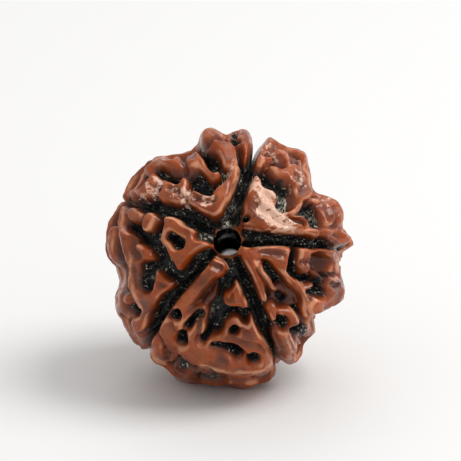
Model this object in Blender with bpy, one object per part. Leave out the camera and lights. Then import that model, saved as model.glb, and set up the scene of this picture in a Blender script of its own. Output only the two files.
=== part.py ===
"""A rudraksha seed: one five-faced stone lying on its side, with its stringing hole towards the front.

Lengths are millimetres until the mesh is made, which is in metres with +Z up. The stone is one closed
surface. Every point of it lies on a straight line from the middle, at the envelope's radius less the depth of
its relief, except in the stringing hole. The face is drawn by hand on a flat plan, x to the right and y up
from the seed's middle. The sides and the back follow a rule that gives the same kind of ridges and pits.
"""

import math

import bmesh
import bpy
import numpy as np

# Driving dimensions
RING_RADIUS = 12.6
POLE_RADIUS = 11.5
MOUTH_RADIUS = 1.4
BORE_RADIUS = 1.15
RIDGE_HEIGHT = 2.2
GROOVE_EXTRA = 0.8
FLOOR_DROP = 12.4

# How the seed lies, and how the plan of its face is looked at: from this far above the horizon and this far
# away. Ridges are looked up a little below their tops, and pits lower down, except near the face's rim.
FACE_ELEVATION = 20.0
POLE_PLAN = (-0.3, 1.8)
VIEW_DISTANCE = 400.0
TOP_DEPTH = 0.8
PIT_DEPTH = 1.0
RIM_FACING = 0.6

# Shape of the relief. A wave's value is its length, and a pair of bounds is where something starts and ends.
EDGE_WIDTH = 0.66
EDGE_OUTSIDE = 0.2
EDGE_FULLNESS = 1.8
EDGE_WAVER = 0.11
EDGE_WAVE = 1.9
TOP_WAVER = 0.2
TOP_WAVE = 3.6
SOFTNESS = 0.12
DEEP_INSIDE = 3.0
SHELF_INSIDE = 0.2
FAR_OUTSIDE = -1.6
FAR_OFF = 99.0
GROUND_HEIGHT = 0.6
CREASE_START = -0.3
CREASED_INSIDE = (-0.1, 0.3)
GROOVE_SLOPE = (-0.1, 0.6)
FACE_ENDS = (0.02, 0.22)
RIM_FRONT = (0.62, 0.2)
RIM_BACK = (-0.5, -0.12)
RIM_HALF = 1.3
RIM_SWING = 0.7
RIM_WAVE = 3.5
RIM_SOFTENING = 1.5
MOUTH_BLEND = 0.5
MOUTH_SINK = 0.9
FOOT_RISE = 0.35
FOOT_BLEND = (-5.0, 0.5)
FOOT_RADIUS = 3.2
FOOT_SWING = 0.6
FOOT_WAVE = 4.0

# Rule for the sides and the back
MAZE_WAVE = 3.5
MAZE_GROUND = -0.12
MAZE_SLOPE = 0.75
MAZE_SWING = 0.35
MAZE_SWING_WAVE = 8.0
MAZE_WAVES = 40
MAZE_HEIGHT = 0.9
MAZE_HEIGHT_SWING = 0.12
MAZE_HEIGHT_WAVE = 4.0
PIT_COUNT = 190
PIT_RADIUS = 0.5
PIT_JITTER = 1.1
WARP = 0.7
WARP_WAVE = 5.0
BORDER_GAP = 0.6
BORDER_HALF = 0.5
BORDER_WAVE = 5.0
GROOVE_BEND = 0.08
GROOVE_BEND_STARTS = (1.2, 1.9)
GROOVE_REACH = 1.2
SEED = 5

# Mesh
COLUMNS = 380
ROWS = 208
BORE_ROWS = 44
TRIANGLES = 11600
FLAT_WITHIN = 0.03
METRES = 0.001

# The rim of the face: angle in degrees round the plan, and how far the outline stands out there
RIM = [
    (0, 11.3), (3, 11.2), (6, 12.8), (11, 12.4), (15, 12.0), (20, 12.4), (25, 12.4), (29, 12.0), (33, 11.3),
    (37, 10.7), (41, 11.1), (46, 12.0), (51, 12.2), (55, 12.8), (62, 12.7), (67, 12.7), (71, 12.9),
    (74, 12.5), (76, 11.2), (79, 12.0), (81, 12.9), (84, 13.2), (88, 12.7), (92, 12.2), (94, 12.7),
    (98, 13.6), (102, 13.4), (105, 12.3), (110, 11.5), (116, 11.4), (120, 11.9), (124, 12.6), (128, 12.9),
    (138, 12.6),
    (142, 12.6), (147, 12.6), (152, 12.6), (158, 12.9), (163, 12.9), (170, 12.7), (176, 12.6), (181, 12.5),
    (185, 11.6), (191, 11.3), (195, 11.7), (197, 12.2), (202, 12.8), (206, 12.8), (211, 12.4), (215, 12.7),
    (221, 12.8), (226, 12.7), (229, 12.5), (233, 13.0), (239, 12.8), (243, 13.1), (248, 13.3), (252, 13.3),
    (257, 13.2), (264, 12.8), (270, 12.7), (274, 12.9), (279, 13.0), (283, 12.7), (288, 12.8), (292, 12.4),
    (294, 11.6), (296, 11.4), (298, 12.2), (302, 12.3), (306, 12.0), (309, 11.6), (312, 11.4), (319, 11.3),
    (322, 10.6), (325, 9.9), (328, 10.5), (332, 11.4), (338, 12.1), (344, 12.0), (349, 11.5), (354, 11.4),
]

# The five grooves that part the lobes, from the hole outwards: x, y and half the width
GROOVES = [
    [(-0.1, 3.2, 0.2), (0.1, 4.2, 0.55), (0.3, 5.3, 0.6), (1.0, 7.3, 0.5), (1.6, 8.8, 0.5), (2.3, 10.6, 0.4)],
    [(1.3, 1.9, 0.45), (2.5, 1.8, 0.55), (5.0, 1.9, 0.45), (7.0, 1.7, 0.4), (9.0, 1.4, 0.3),
     (10.8, 1.2, 0.15)],
    [(0.9, -0.3, 0.45), (1.9, -2.3, 0.6), (2.6, -4.2, 0.55), (3.3, -6.2, 0.5), (4.5, -9.4, 0.3),
     (4.8, -10.4, 0.25)],
    [(-1.9, 0.7, 0.4), (-3.3, -0.8, 0.6), (-5.0, -2.7, 0.6), (-6.3, -4.4, 0.55), (-7.8, -7.2, 0.4),
     (-8.6, -8.8, 0.3)],
    [(-1.9, 2.9, 0.5), (-2.8, 3.7, 0.6), (-4.2, 4.4, 0.5), (-6.5, 5.1, 0.35), (-9.0, 5.6, 0.25),
     (-10.8, 6.0, -0.1)],
]

# Lobe to the upper left. Ridges are lines of points with half their width, plates are closed outlines,
# and each has its height as a share of the full ridge. A crease is a line with its depth in millimetres,
# where below nought means that it is raised.
UPPER_LEFT_RIDGES = [
    (1.0, [(-2.1, 11.9, 1.1), (-1.8, 11.9, 1.15)]),
    (0.95, [(-3.4, 10.1, 0.45), (-2.8, 9.2, 0.4), (-2.1, 8.3, 0.45), (-1.6, 7.9, 0.4), (-1.2, 8.1, 0.25)]),
    (0.95, [(-3.5, 9.6, 0.85), (-4.6, 9.3, 0.9), (-5.6, 9.3, 0.85), (-6.6, 9.8, 0.6), (-7.5, 9.7, 0.6),
            (-8.1, 8.9, 0.5), (-8.7, 8.3, 0.45)]),
    (0.85, [(-8.8, 8.3, 0.4), (-9.5, 7.5, 0.4), (-10.0, 6.7, 0.45), (-10.1, 5.9, 0.4)]),
]
UPPER_LEFT_PLATES = [
    (1.0, [(-0.5, 11.4), (-0.4, 12.3), (0.5, 12.8), (1.4, 13.1), (2.2, 12.8), (2.4, 11.6), (2.3, 10.4),
           (1.9, 9.4), (1.4, 9.2), (1.2, 10.2), (0.8, 11.0), (0.2, 11.4)]),
    (1.0, [(-2.2, 11.0), (-1.4, 11.5), (-0.4, 11.5), (0.4, 11.1), (0.8, 10.3), (0.8, 9.2), (0.5, 8.5),
           (-0.5, 8.5), (-0.9, 9.3), (-1.2, 10.1), (-1.7, 10.7)]),
    (0.95, [(-8.2, 8.3), (-7.7, 8.6), (-7.2, 8.3), (-7.1, 7.6), (-7.4, 6.8), (-7.4, 6.2), (-8.0, 5.9),
            (-8.8, 5.9), (-9.4, 6.3), (-9.9, 6.9), (-9.3, 7.1), (-8.7, 7.1), (-8.3, 7.5)]),
    (0.95, [(-6.7, 7.9), (-6.3, 7.9), (-5.7, 7.4), (-5.1, 7.2), (-4.9, 7.7), (-4.5, 8.1), (-4.1, 7.9),
            (-4.0, 7.0), (-4.2, 6.2), (-4.4, 5.4), (-5.2, 5.2), (-6.0, 5.4), (-6.7, 5.6), (-7.3, 6.0),
            (-6.7, 6.4), (-6.5, 7.2)]),
    (1.0, [(-4.2, 5.6), (-3.9, 6.8), (-3.2, 6.6), (-2.6, 6.1), (-1.9, 6.0), (-1.4, 6.6), (-0.6, 7.4),
           (0.1, 8.3), (0.7, 8.9), (1.0, 8.6), (0.6, 7.4), (0.1, 6.1), (-0.4, 5.0), (-1.1, 4.1),
           (-1.6, 3.8), (-2.4, 4.2), (-3.3, 4.8)]),
]
UPPER_LEFT_PITS = [
    [(-2.5, 10.5, 0.3), (-1.8, 9.6, 0.5), (-1.4, 8.8, 0.4)],
    [(-7.1, 8.8, 0.3), (-6.7, 8.4, 0.45)],
    [(-9.0, 7.2, 0.25), (-8.4, 8.1, 0.3)],
    [(0.5, 12.3, 0.25), (0.3, 11.9, 0.3), (0.5, 11.5, 0.3), (0.9, 11.4, 0.2)],
]
UPPER_LEFT_CREASES = [
    (0.7, [(-2.9, 11.2, 0.3), (-2.2, 11.1, 0.35), (-1.5, 11.6, 0.3), (-0.6, 11.8, 0.25)]),
    (0.5, [(-6.4, 10.0, 0.3), (-5.7, 9.8, 0.3), (-5.2, 9.9, 0.25)]),
    (-0.3, [(-6.8, 9.6, 0.25), (-6.2, 9.1, 0.25), (-5.5, 9.1, 0.25), (-4.9, 9.5, 0.25)]),
    (0.5, [(-4.7, 10.1, 0.4), (-4.3, 9.2, 0.4), (-4.5, 8.6, 0.4)]),
    (0.5, [(-3.2, 5.7, 0.5), (-2.2, 5.4, 0.45), (-1.5, 5.5, 0.4)]),
    (0.4, [(-5.7, 6.6, 0.35), (-5.0, 6.4, 0.4), (-4.7, 5.8, 0.35)]),
    (0.4, [(-7.6, 6.8, 0.35), (-7.3, 6.5, 0.35)]),
    (0.6, [(0.9, 10.9, 0.25), (1.2, 10.2, 0.3), (1.1, 9.2, 0.35)]),
    (0.5, [(-0.6, 11.9, 0.25), (-0.2, 11.4, 0.25), (0.6, 11.3, 0.2)]),
]

# Lobe to the left
LEFT_RIDGES = [
    (0.9, [(-9.6, 4.4, 0.75), (-9.2, 4.2, 0.7)]),
    (0.85, [(-10.8, 5.0, 0.45), (-10.9, 4.2, 0.45), (-11.0, 3.3, 0.45), (-10.6, 2.6, 0.45)]),
    (0.9, [(-7.7, 3.9, 0.6), (-8.1, 3.1, 0.55)]),
    (0.85, [(-11.9, 3.0, 0.45), (-12.2, 1.5, 0.45), (-12.1, 0.0, 0.45), (-11.6, -1.2, 0.45),
            (-11.1, -2.2, 0.45), (-11.0, -3.0, 0.4)]),
    (0.9, [(-10.4, -4.1, 0.6), (-10.1, -4.3, 0.5)]),
    (0.85, [(-11.3, -3.6, 0.4), (-11.4, -4.6, 0.5), (-11.2, -5.3, 0.5), (-10.4, -6.0, 0.4)]),
    (0.8, [(-10.1, -7.4, 0.6), (-9.3, -8.2, 0.6), (-8.6, -8.6, 0.4)]),
]
LEFT_PLATES = [
    (1.0, [(-6.5, 4.2), (-5.8, 4.2), (-5.0, 3.8), (-4.2, 3.2), (-3.4, 2.7), (-3.5, 2.1), (-2.9, 1.7),
           (-2.1, 1.6), (-1.8, 1.2), (-2.6, 1.0), (-3.2, 0.7), (-3.7, 0.2), (-4.2, -0.7), (-4.7, -1.3),
           (-5.2, -1.2), (-5.4, -0.7), (-6.0, 0.1), (-6.2, 0.8), (-6.9, 1.6), (-6.6, 2.6), (-6.5, 3.3)]),
    (0.95, [(-11.0, 2.8), (-10.4, 2.9), (-9.7, 2.5), (-9.3, 2.0), (-9.3, 1.5), (-8.6, 1.3), (-8.0, 0.9),
            (-7.4, 0.2), (-7.8, -0.3), (-8.9, -0.5), (-8.9, -1.6), (-8.9, -2.6), (-8.6, -3.3), (-7.9, -3.4),
            (-7.4, -2.9), (-7.3, -1.9), (-7.1, -1.1), (-6.6, -1.8), (-6.0, -2.2), (-5.5, -2.8),
            (-5.8, -3.2), (-6.6, -3.5), (-6.9, -4.1), (-7.6, -5.0), (-8.0, -6.1), (-8.4, -7.1),
            (-9.0, -7.4), (-9.7, -7.2), (-10.1, -6.6), (-10.0, -6.0), (-9.5, -5.7), (-8.8, -5.6),
            (-9.0, -4.7), (-9.5, -3.7), (-10.0, -2.6), (-9.9, -1.5), (-9.9, -0.5), (-10.3, 0.5),
            (-10.6, 1.5)]),
]
LEFT_PITS = [
    [(-5.6, 2.0, 0.45), (-4.9, 1.4, 0.55)],
    [(-8.1, -0.9, 0.5), (-8.2, -1.8, 0.6), (-8.2, -2.6, 0.6)],
    [(-10.2, -5.2, 0.3), (-9.3, -5.3, 0.35)],
    [(-9.8, 3.1, 0.3), (-9.1, 2.9, 0.4)],
]
LEFT_CREASES = [
    (0.5, [(-10.3, 3.6, 0.35), (-10.1, 4.9, 0.3)]),
    (0.45, [(-9.6, 1.9, 0.35), (-9.2, 0.9, 0.4), (-8.9, 0.1, 0.5)]),
    (0.5, [(-9.4, -0.7, 0.4), (-9.3, -1.7, 0.4), (-9.1, -2.8, 0.35)]),
    (-0.25, [(-10.8, 2.2, 0.25), (-10.4, 0.8, 0.25), (-9.9, -0.8, 0.25), (-10.0, -2.2, 0.25),
             (-9.5, -3.6, 0.25), (-8.9, -4.8, 0.25)]),
    (0.5, [(-9.7, -3.6, 0.3), (-9.6, -4.7, 0.3)]),
    (0.6, [(-11.2, 1.9, 0.3), (-11.1, 0.2, 0.35), (-10.7, -1.2, 0.3)]),
    (0.5, [(-9.9, -7.0, 0.3), (-9.0, -7.6, 0.35), (-8.4, -7.6, 0.3)]),
    (0.3, [(-6.9, -2.3, 0.3), (-6.3, -2.7, 0.3)]),
]

# Lobe at the bottom
BOTTOM_RIDGES = [
    (0.9, [(-7.3, -8.2, 0.75), (-7.3, -9.4, 0.65)]),
    (0.8, [(-7.0, -9.9, 0.7), (-6.3, -10.1, 0.8), (-5.8, -9.9, 0.6)]),
    (0.7, [(-2.7, -11.4, 0.5), (-1.6, -12.0, 0.55), (-0.5, -12.2, 0.5)]),
    (0.8, [(-5.5, -11.3, 0.45), (-4.6, -12.0, 0.4), (-3.9, -12.1, 0.4), (-3.3, -11.5, 0.4),
           (-2.8, -10.8, 0.35)]),
    (0.85, [(0.0, -12.1, 0.6), (1.1, -12.4, 0.75), (1.9, -12.2, 0.6)]),
    (0.8, [(2.9, -12.1, 0.6), (4.2, -11.6, 0.6)]),
]
BOTTOM_PLATES = [
    (1.0, [(-1.8, 0.5), (-1.2, 0.0), (-0.5, -0.5), (-0.2, -1.2), (-0.6, -1.8), (-1.4, -2.1), (-1.9, -2.7),
           (-2.5, -3.4), (-3.0, -4.2), (-3.6, -5.0), (-4.9, -5.4), (-6.2, -6.2), (-7.0, -6.1), (-6.3, -4.9),
           (-5.6, -3.8), (-4.6, -2.7), (-3.7, -1.8), (-2.8, -1.0), (-2.1, -0.2)]),
    (1.0, [(-5.6, -4.8), (-6.4, -5.8), (-7.1, -6.6), (-7.3, -7.3), (-6.6, -7.4), (-6.3, -8.5), (-5.8, -9.1),
           (-5.1, -9.2), (-4.7, -9.7), (-4.2, -10.0), (-3.4, -10.3), (-2.5, -10.4), (-1.7, -10.8),
           (-1.0, -11.2), (0.0, -11.6), (1.5, -11.7), (3.0, -11.6), (3.8, -11.2), (4.3, -10.6), (4.4, -9.7),
           (4.0, -9.0), (3.5, -8.3), (3.0, -7.5), (2.5, -6.5), (2.0, -5.3), (1.8, -6.6), (1.3, -6.4),
           (0.9, -5.9), (0.3, -5.7), (-0.3, -6.1), (-0.8, -7.1), (-1.6, -7.7), (-2.5, -7.3), (-2.3, -6.6),
           (-2.2, -5.3), (-2.5, -4.5), (-3.5, -4.4), (-4.4, -4.2)]),
    (0.95, [(0.6, -2.1), (1.1, -2.8), (1.5, -3.8), (1.8, -4.6), (1.4, -4.9), (-0.5, -4.9), (-0.8, -4.2),
            (-0.6, -3.5), (0.0, -3.3), (0.3, -2.7)]),
]
BOTTOM_PITS = [
    [(-5.3, -5.4, 0.5), (-5.1, -5.4, 0.5)],
    [(-4.0, -6.4, 0.4), (-3.0, -5.4, 0.4)],
    [(-4.5, -7.4, 0.5), (-4.6, -7.9, 0.5)],
    [(-2.6, -7.7, 0.35), (-2.1, -7.4, 0.3)],
    [(0.4, -7.0, 0.5)],
    [(2.2, -9.5, 0.55), (2.3, -9.7, 0.5)],
    [(-1.5, -8.4, 0.35), (-0.5, -8.4, 0.45), (0.3, -8.8, 0.5), (0.9, -9.3, 0.45)],
    [(-4.7, -10.6, 0.6), (-4.2, -10.7, 0.65)],
]
BOTTOM_CREASES = [
    (0.7, [(-6.9, -7.3, 0.3), (-6.6, -8.0, 0.3), (-6.4, -8.8, 0.3), (-5.7, -9.3, 0.25)]),
    (0.6, [(-1.2, -2.2, 0.6), (-2.1, -3.0, 0.6), (-2.9, -4.0, 0.6), (-3.8, -5.0, 0.4)]),
    (0.35, [(-2.0, 0.2, 0.3), (-1.6, -0.6, 0.45), (-1.0, -1.0, 0.4)]),
    (0.45, [(-0.9, -9.4, 0.5), (-0.4, -9.9, 0.5)]),
    (0.35, [(-0.2, -7.7, 0.35), (0.9, -8.1, 0.4), (2.2, -8.3, 0.4), (3.0, -8.6, 0.3)]),
    (0.3, [(1.2, -7.0, 0.4), (2.0, -7.6, 0.4)]),
    (0.4, [(-2.9, -6.2, 0.3), (-3.0, -7.0, 0.35), (-3.2, -7.9, 0.3)]),
    (0.4, [(-5.6, -6.4, 0.35), (-5.3, -7.1, 0.3)]),
    (0.35, [(-0.5, -4.0, 0.3), (0.2, -4.3, 0.3), (0.3, -3.5, 0.25)]),
    (0.6, [(2.3, -12.4, 0.25), (2.4, -11.6, 0.3)]),
    (0.5, [(-6.4, -10.3, 0.4), (-6.2, -9.2, 0.4)]),
]

# Lobe to the lower right
LOWER_RIGHT_RIDGES = [
    (1.0, [(1.4, 0.5, 0.45), (2.0, -0.6, 0.7), (2.6, -1.9, 0.6), (3.0, -3.1, 0.5), (3.3, -3.9, 0.4)]),
    (0.9, [(2.7, -0.5, 0.4), (3.3, -1.6, 0.45), (4.0, -2.6, 0.35), (4.5, -3.2, 0.3)]),
    (0.95, [(5.2, -1.5, 0.4), (6.0, -2.2, 0.45), (6.7, -2.8, 0.5), (7.2, -3.5, 0.45), (7.3, -4.4, 0.35),
            (7.3, -5.6, 0.25)]),
    (0.9, [(7.4, -3.1, 0.3), (8.0, -2.7, 0.3)]),
    (0.95, [(8.1, 0.7, 0.35), (9.3, 0.7, 0.4), (10.4, 0.4, 0.45), (11.1, -0.3, 0.45), (11.1, -1.3, 0.4)]),
    (0.9, [(9.8, 0.3, 0.4), (9.9, -1.2, 0.35)]),
    (0.85, [(8.3, -1.3, 0.25), (8.8, -2.0, 0.3)]),
    (0.8, [(11.0, 0.8, 0.3), (11.7, 0.3, 0.35)]),
    (0.85, [(7.9, -5.8, 0.35), (7.6, -6.3, 0.35)]),
]
LOWER_RIGHT_PLATES = [
    (1.0, [(1.1, 0.9), (2.0, 1.1), (3.5, 1.3), (5.0, 1.45), (5.6, 1.4), (5.9, 0.9), (5.6, 0.0), (5.5, -1.0),
           (5.3, -1.8), (4.8, -1.5), (4.3, -0.8), (3.6, -0.2), (2.8, -0.1), (2.2, -0.4), (1.4, 0.1)]),
    (0.95, [(6.6, 1.25), (7.8, 1.2), (8.2, 0.8), (7.9, 0.0), (8.0, -1.0), (7.6, -1.6), (7.0, -1.6),
            (6.5, -1.0), (6.6, 0.2)]),
    (0.95, [(9.8, -1.9), (10.8, -1.7), (11.3, -2.3), (11.6, -3.0), (11.7, -3.8), (11.1, -4.8), (10.0, -5.4),
            (8.5, -5.8), (7.7, -5.5), (7.5, -4.5), (8.3, -3.7), (9.0, -4.0), (9.6, -3.7), (9.3, -3.1),
            (9.5, -2.5)]),
    (0.95, [(3.3, -4.9), (3.8, -4.3), (4.5, -4.3), (4.7, -4.9), (5.4, -4.8), (6.0, -4.8), (6.5, -5.6),
            (7.0, -6.2), (6.7, -6.7), (6.1, -6.9), (5.8, -7.3), (5.0, -7.4), (4.4, -6.7), (4.0, -6.0)]),
    (0.95, [(4.0, -7.0), (5.9, -7.0), (6.2, -8.0), (6.6, -8.6), (6.9, -9.4), (6.8, -10.2), (6.2, -11.0),
            (5.4, -10.9), (4.9, -9.9), (4.4, -8.8)]),
    (0.85, [(7.4, -6.2), (8.1, -6.2), (8.4, -6.9), (8.6, -7.7), (8.0, -8.4), (7.5, -9.0), (6.9, -9.6),
            (6.6, -8.8), (6.4, -7.9), (7.2, -7.8), (7.7, -7.2)]),
]
LOWER_RIGHT_PITS = [
    [(6.2, 0.7, 0.25), (6.1, -0.2, 0.35), (6.0, -1.1, 0.5)],
    [(4.9, -6.1, 0.6), (5.1, -6.3, 0.6)],
    [(6.9, -7.1, 0.55)],
    [(3.6, -0.7, 0.3), (4.2, -1.3, 0.35), (4.8, -2.2, 0.35)],
    [(4.9, -3.8, 0.35), (5.4, -4.1, 0.4)],
    [(8.6, -2.9, 0.5), (9.0, -3.4, 0.4)],
]
LOWER_RIGHT_CREASES = [
    (0.45, [(2.6, -1.0, 0.25), (3.1, -2.1, 0.25), (3.6, -3.2, 0.3)]),
    (0.4, [(3.0, 0.5, 0.45), (4.2, 0.4, 0.5), (5.0, 0.3, 0.4)]),
    (0.6, [(9.9, -2.6, 0.35), (10.7, -2.8, 0.35)]),
    (0.5, [(11.4, -3.4, 0.25), (10.7, -4.4, 0.25), (9.6, -5.1, 0.25), (8.4, -5.4, 0.25)]),
    (-0.25, [(11.2, -2.9, 0.25), (10.6, -4.1, 0.25), (9.6, -4.8, 0.25), (8.4, -5.1, 0.25)]),
    (0.5, [(4.3, -7.4, 0.4), (4.8, -8.4, 0.5), (5.1, -9.6, 0.4)]),
    (0.3, [(5.6, -7.6, 0.2), (6.0, -8.6, 0.2), (6.2, -9.6, 0.2)]),
    (0.5, [(7.0, -8.0, 0.4), (7.4, -8.3, 0.4)]),
    (0.5, [(10.3, -0.4, 0.2), (10.3, -1.4, 0.2)]),
    (0.4, [(8.9, 0.0, 0.7), (9.1, -1.0, 0.7)]),
    (0.4, [(4.6, -5.3, 0.3), (4.8, -5.7, 0.3)]),
    (0.35, [(6.9, -0.3, 0.35), (7.4, -0.6, 0.35)]),
]

# Lobe to the upper right
UPPER_RIGHT_RIDGES = [
    (1.0, [(3.8, 11.7, 0.55), (3.3, 10.9, 0.6), (2.9, 10.0, 0.5), (2.8, 9.1, 0.4)]),
    (0.95, [(3.3, 9.8, 0.5), (4.0, 9.8, 0.45)]),
    (0.95, [(4.4, 11.5, 0.55), (5.6, 11.3, 0.5), (6.8, 10.9, 0.5), (7.3, 10.2, 0.5), (7.3, 9.7, 0.4)]),
    (0.95, [(4.6, 10.8, 0.4), (5.6, 10.4, 0.4), (6.0, 9.9, 0.4), (5.7, 9.4, 0.35)]),
    (0.9, [(4.0, 9.0, 0.3), (4.4, 8.6, 0.35), (5.2, 8.8, 0.4)]),
    (0.9, [(5.4, 4.3, 0.25), (6.4, 4.6, 0.35), (7.0, 5.2, 0.4)]),
    (0.85, [(6.0, 4.0, 0.25), (6.9, 4.0, 0.35), (7.5, 3.6, 0.35), (7.6, 3.0, 0.35)]),
    (0.9, [(7.8, 9.4, 0.45), (8.3, 8.6, 0.45), (8.3, 7.6, 0.4), (8.4, 6.9, 0.3)]),
    (0.85, [(9.8, 6.1, 0.35), (10.8, 5.4, 0.4), (11.2, 4.4, 0.45), (11.2, 3.6, 0.45)]),
    (0.95, [(7.4, 2.6, 0.35), (8.2, 2.5, 0.5)]),
    (0.9, [(9.2, 2.5, 0.35), (9.8, 2.4, 0.45)]),
    (0.9, [(10.4, 2.8, 0.45), (11.4, 2.5, 0.5), (11.9, 1.9, 0.5)]),
    (0.85, [(10.2, 1.9, 0.3), (11.4, 1.6, 0.35)]),
]
UPPER_RIGHT_PLATES = [
    (1.0, [(2.4, 8.1), (2.9, 7.8), (3.2, 6.9), (3.7, 6.8), (4.3, 6.6), (4.6, 5.9), (4.5, 5.1), (5.0, 4.5),
           (5.4, 4.0), (6.0, 3.6), (6.9, 3.3), (7.3, 2.8), (7.0, 2.4), (5.0, 2.5), (3.0, 2.8), (1.4, 3.1),
           (1.1, 4.0), (1.3, 5.0), (1.6, 6.2), (2.0, 7.4)]),
    (0.95, [(4.1, 8.6), (5.0, 8.8), (5.5, 9.2), (6.0, 9.5), (6.8, 9.4), (7.3, 8.6), (7.6, 7.8), (8.0, 7.0),
            (8.6, 6.3), (7.8, 5.9), (7.0, 5.4), (6.6, 4.7), (5.5, 4.3), (5.9, 4.8), (6.3, 5.6), (6.2, 6.3),
            (6.0, 7.1), (5.3, 7.6), (4.4, 8.0)]),
    (0.9, [(7.9, 6.0), (9.0, 6.0), (10.0, 5.5), (10.6, 4.7), (10.6, 3.7), (9.9, 3.0), (9.2, 2.9), (8.8, 3.5),
           (8.9, 4.6), (8.5, 5.3), (7.8, 5.4)]),
]
UPPER_RIGHT_PITS = [
    [(1.6, 3.9, 0.35)],
    [(4.7, 9.3, 0.35), (5.0, 9.1, 0.35)],
    [(6.3, 9.9, 0.25), (6.7, 9.8, 0.3)],
    [(7.4, 4.8, 0.3), (8.0, 4.8, 0.45), (8.3, 4.0, 0.35), (8.4, 3.3, 0.3)],
    [(3.7, 7.4, 0.25), (4.5, 7.1, 0.3), (5.4, 6.0, 0.6), (5.2, 4.9, 0.45)],
]
UPPER_RIGHT_CREASES = [
    (0.5, [(3.5, 10.3, 0.3), (4.2, 10.3, 0.3)]),
    (0.45, [(4.3, 11.1, 0.3), (5.2, 10.9, 0.3), (6.2, 10.6, 0.25)]),
    (0.4, [(3.4, 11.4, 0.25), (3.8, 10.8, 0.3)]),
    (0.5, [(7.4, 8.8, 0.25), (7.7, 7.7, 0.25), (8.2, 6.8, 0.25)]),
    (0.5, [(6.4, 8.2, 0.5), (6.9, 7.2, 0.5), (6.8, 6.2, 0.4)]),
    (0.5, [(5.6, 3.9, 0.25), (6.8, 3.8, 0.25), (7.3, 3.4, 0.25)]),
    (0.6, [(10.6, 5.2, 0.25), (10.8, 4.2, 0.25), (10.4, 3.2, 0.3)]),
    (0.35, [(8.8, 5.2, 0.4), (9.6, 4.8, 0.5), (9.6, 3.8, 0.5)]),
    (0.3, [(3.3, 6.0, 0.4), (3.6, 5.5, 0.4)]),
    (0.3, [(2.4, 5.0, 0.5), (3.2, 4.3, 0.6), (4.4, 3.6, 0.5), (5.6, 3.1, 0.4)]),
]

# Low brown ground between some of the ridges: its height as a share of the full ridge, and a closed outline
SHELVES = [
    (0.6, [(3.2, 9.3), (3.0, 10.6), (3.8, 11.5), (5.2, 11.3), (6.6, 10.8), (7.3, 9.8), (6.3, 9.5), (5.6, 9.2),
           (4.4, 8.8)]),
    (0.3, [(8.3, 0.6), (9.9, 0.4), (10.0, -1.2), (9.2, -1.6), (8.4, -1.2)]),
    (0.5, [(-2.0, -2.6), (-1.3, -2.2), (-1.2, -3.2), (-1.6, -4.3), (-2.3, -4.8), (-3.2, -4.6)]),
    (0.5, [(4.0, -3.2), (5.2, -2.6), (6.4, -3.0), (7.0, -4.0), (6.8, -5.0), (5.4, -4.6), (4.4, -4.2)]),
    (0.5, [(6.0, 6.6), (6.9, 5.4), (6.4, 4.6), (5.9, 5.0), (5.8, 6.0)]),
    (0.5, [(-6.6, 9.2), (-3.6, 9.0), (-3.9, 8.4), (-6.2, 8.4)]),
]

RIDGES = (UPPER_LEFT_RIDGES + LEFT_RIDGES + BOTTOM_RIDGES + LOWER_RIGHT_RIDGES + UPPER_RIGHT_RIDGES)
PLATES = (UPPER_LEFT_PLATES + LEFT_PLATES + BOTTOM_PLATES + LOWER_RIGHT_PLATES + UPPER_RIGHT_PLATES)
PITS = (UPPER_LEFT_PITS + LEFT_PITS + BOTTOM_PITS + LOWER_RIGHT_PITS + UPPER_RIGHT_PITS)
CREASES = (UPPER_LEFT_CREASES + LEFT_CREASES + BOTTOM_CREASES + LOWER_RIGHT_CREASES + UPPER_RIGHT_CREASES)


def unit(vector):
    """The vector at length one."""
    return vector / np.linalg.norm(vector)


def unit_rows(rows):
    """Each row at length one."""
    return rows / np.linalg.norm(rows, axis=-1, keepdims=True)


def plan_axes():
    """The plan's right, its up, and the way it faces, in the world."""
    tilt = math.radians(FACE_ELEVATION)
    right = np.array((1.0, 0.0, 0.0))
    up = np.array((0.0, math.sin(tilt), math.cos(tilt)))
    out = np.array((0.0, -math.cos(tilt), math.sin(tilt)))
    return right, up, out


def pole_axes():
    """Two axes across the stringing hole, and the one along it towards the face."""
    right, up, out = plan_axes()
    x, y = POLE_PLAN
    depth = math.sqrt(POLE_RADIUS ** 2 - x ** 2 - y ** 2)
    pole = unit(x * right + y * up + depth * out)
    across = unit(right - right.dot(pole) * pole)
    return across, np.cross(pole, across), pole


def ease(value, start, end):
    """Nought at start, one at end, and a smooth S between."""
    t = np.clip((value - start) / (end - start), 0.0, 1.0)
    return t * t * (3.0 - 2.0 * t)


def shoulder(inside):
    """Share of the ridge's height: a full, rounded rise from just outside its edge that levels off inside."""
    t = np.clip((inside + EDGE_OUTSIDE) / EDGE_WIDTH, 0.0, 1.0)
    return (1.0 - (1.0 - t) ** EDGE_FULLNESS) ** (1.0 / EDGE_FULLNESS)


def soft_min(first, second):
    """The smaller of two fields, rounded where they cross."""
    gap = np.clip(np.abs(first - second) / SOFTNESS, 0.0, 30.0)
    return np.minimum(first, second) - SOFTNESS * np.log1p(np.exp(-gap))


def cut_corners(points, closed):
    """The line with each corner cut twice, a quarter of the way along its sides."""
    line = np.array(points, dtype=float)
    for _ in range(2):
        if len(line) < 3:
            return line
        ahead = np.roll(line, -1, axis=0) if closed else line[1:]
        here = line if closed else line[:-1]
        cut = np.stack((0.75 * here + 0.25 * ahead, 0.25 * here + 0.75 * ahead), axis=1)
        cut = cut.reshape(-1, line.shape[1])
        line = cut if closed else np.vstack((line[:1], cut, line[-1:]))
    return line


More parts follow.
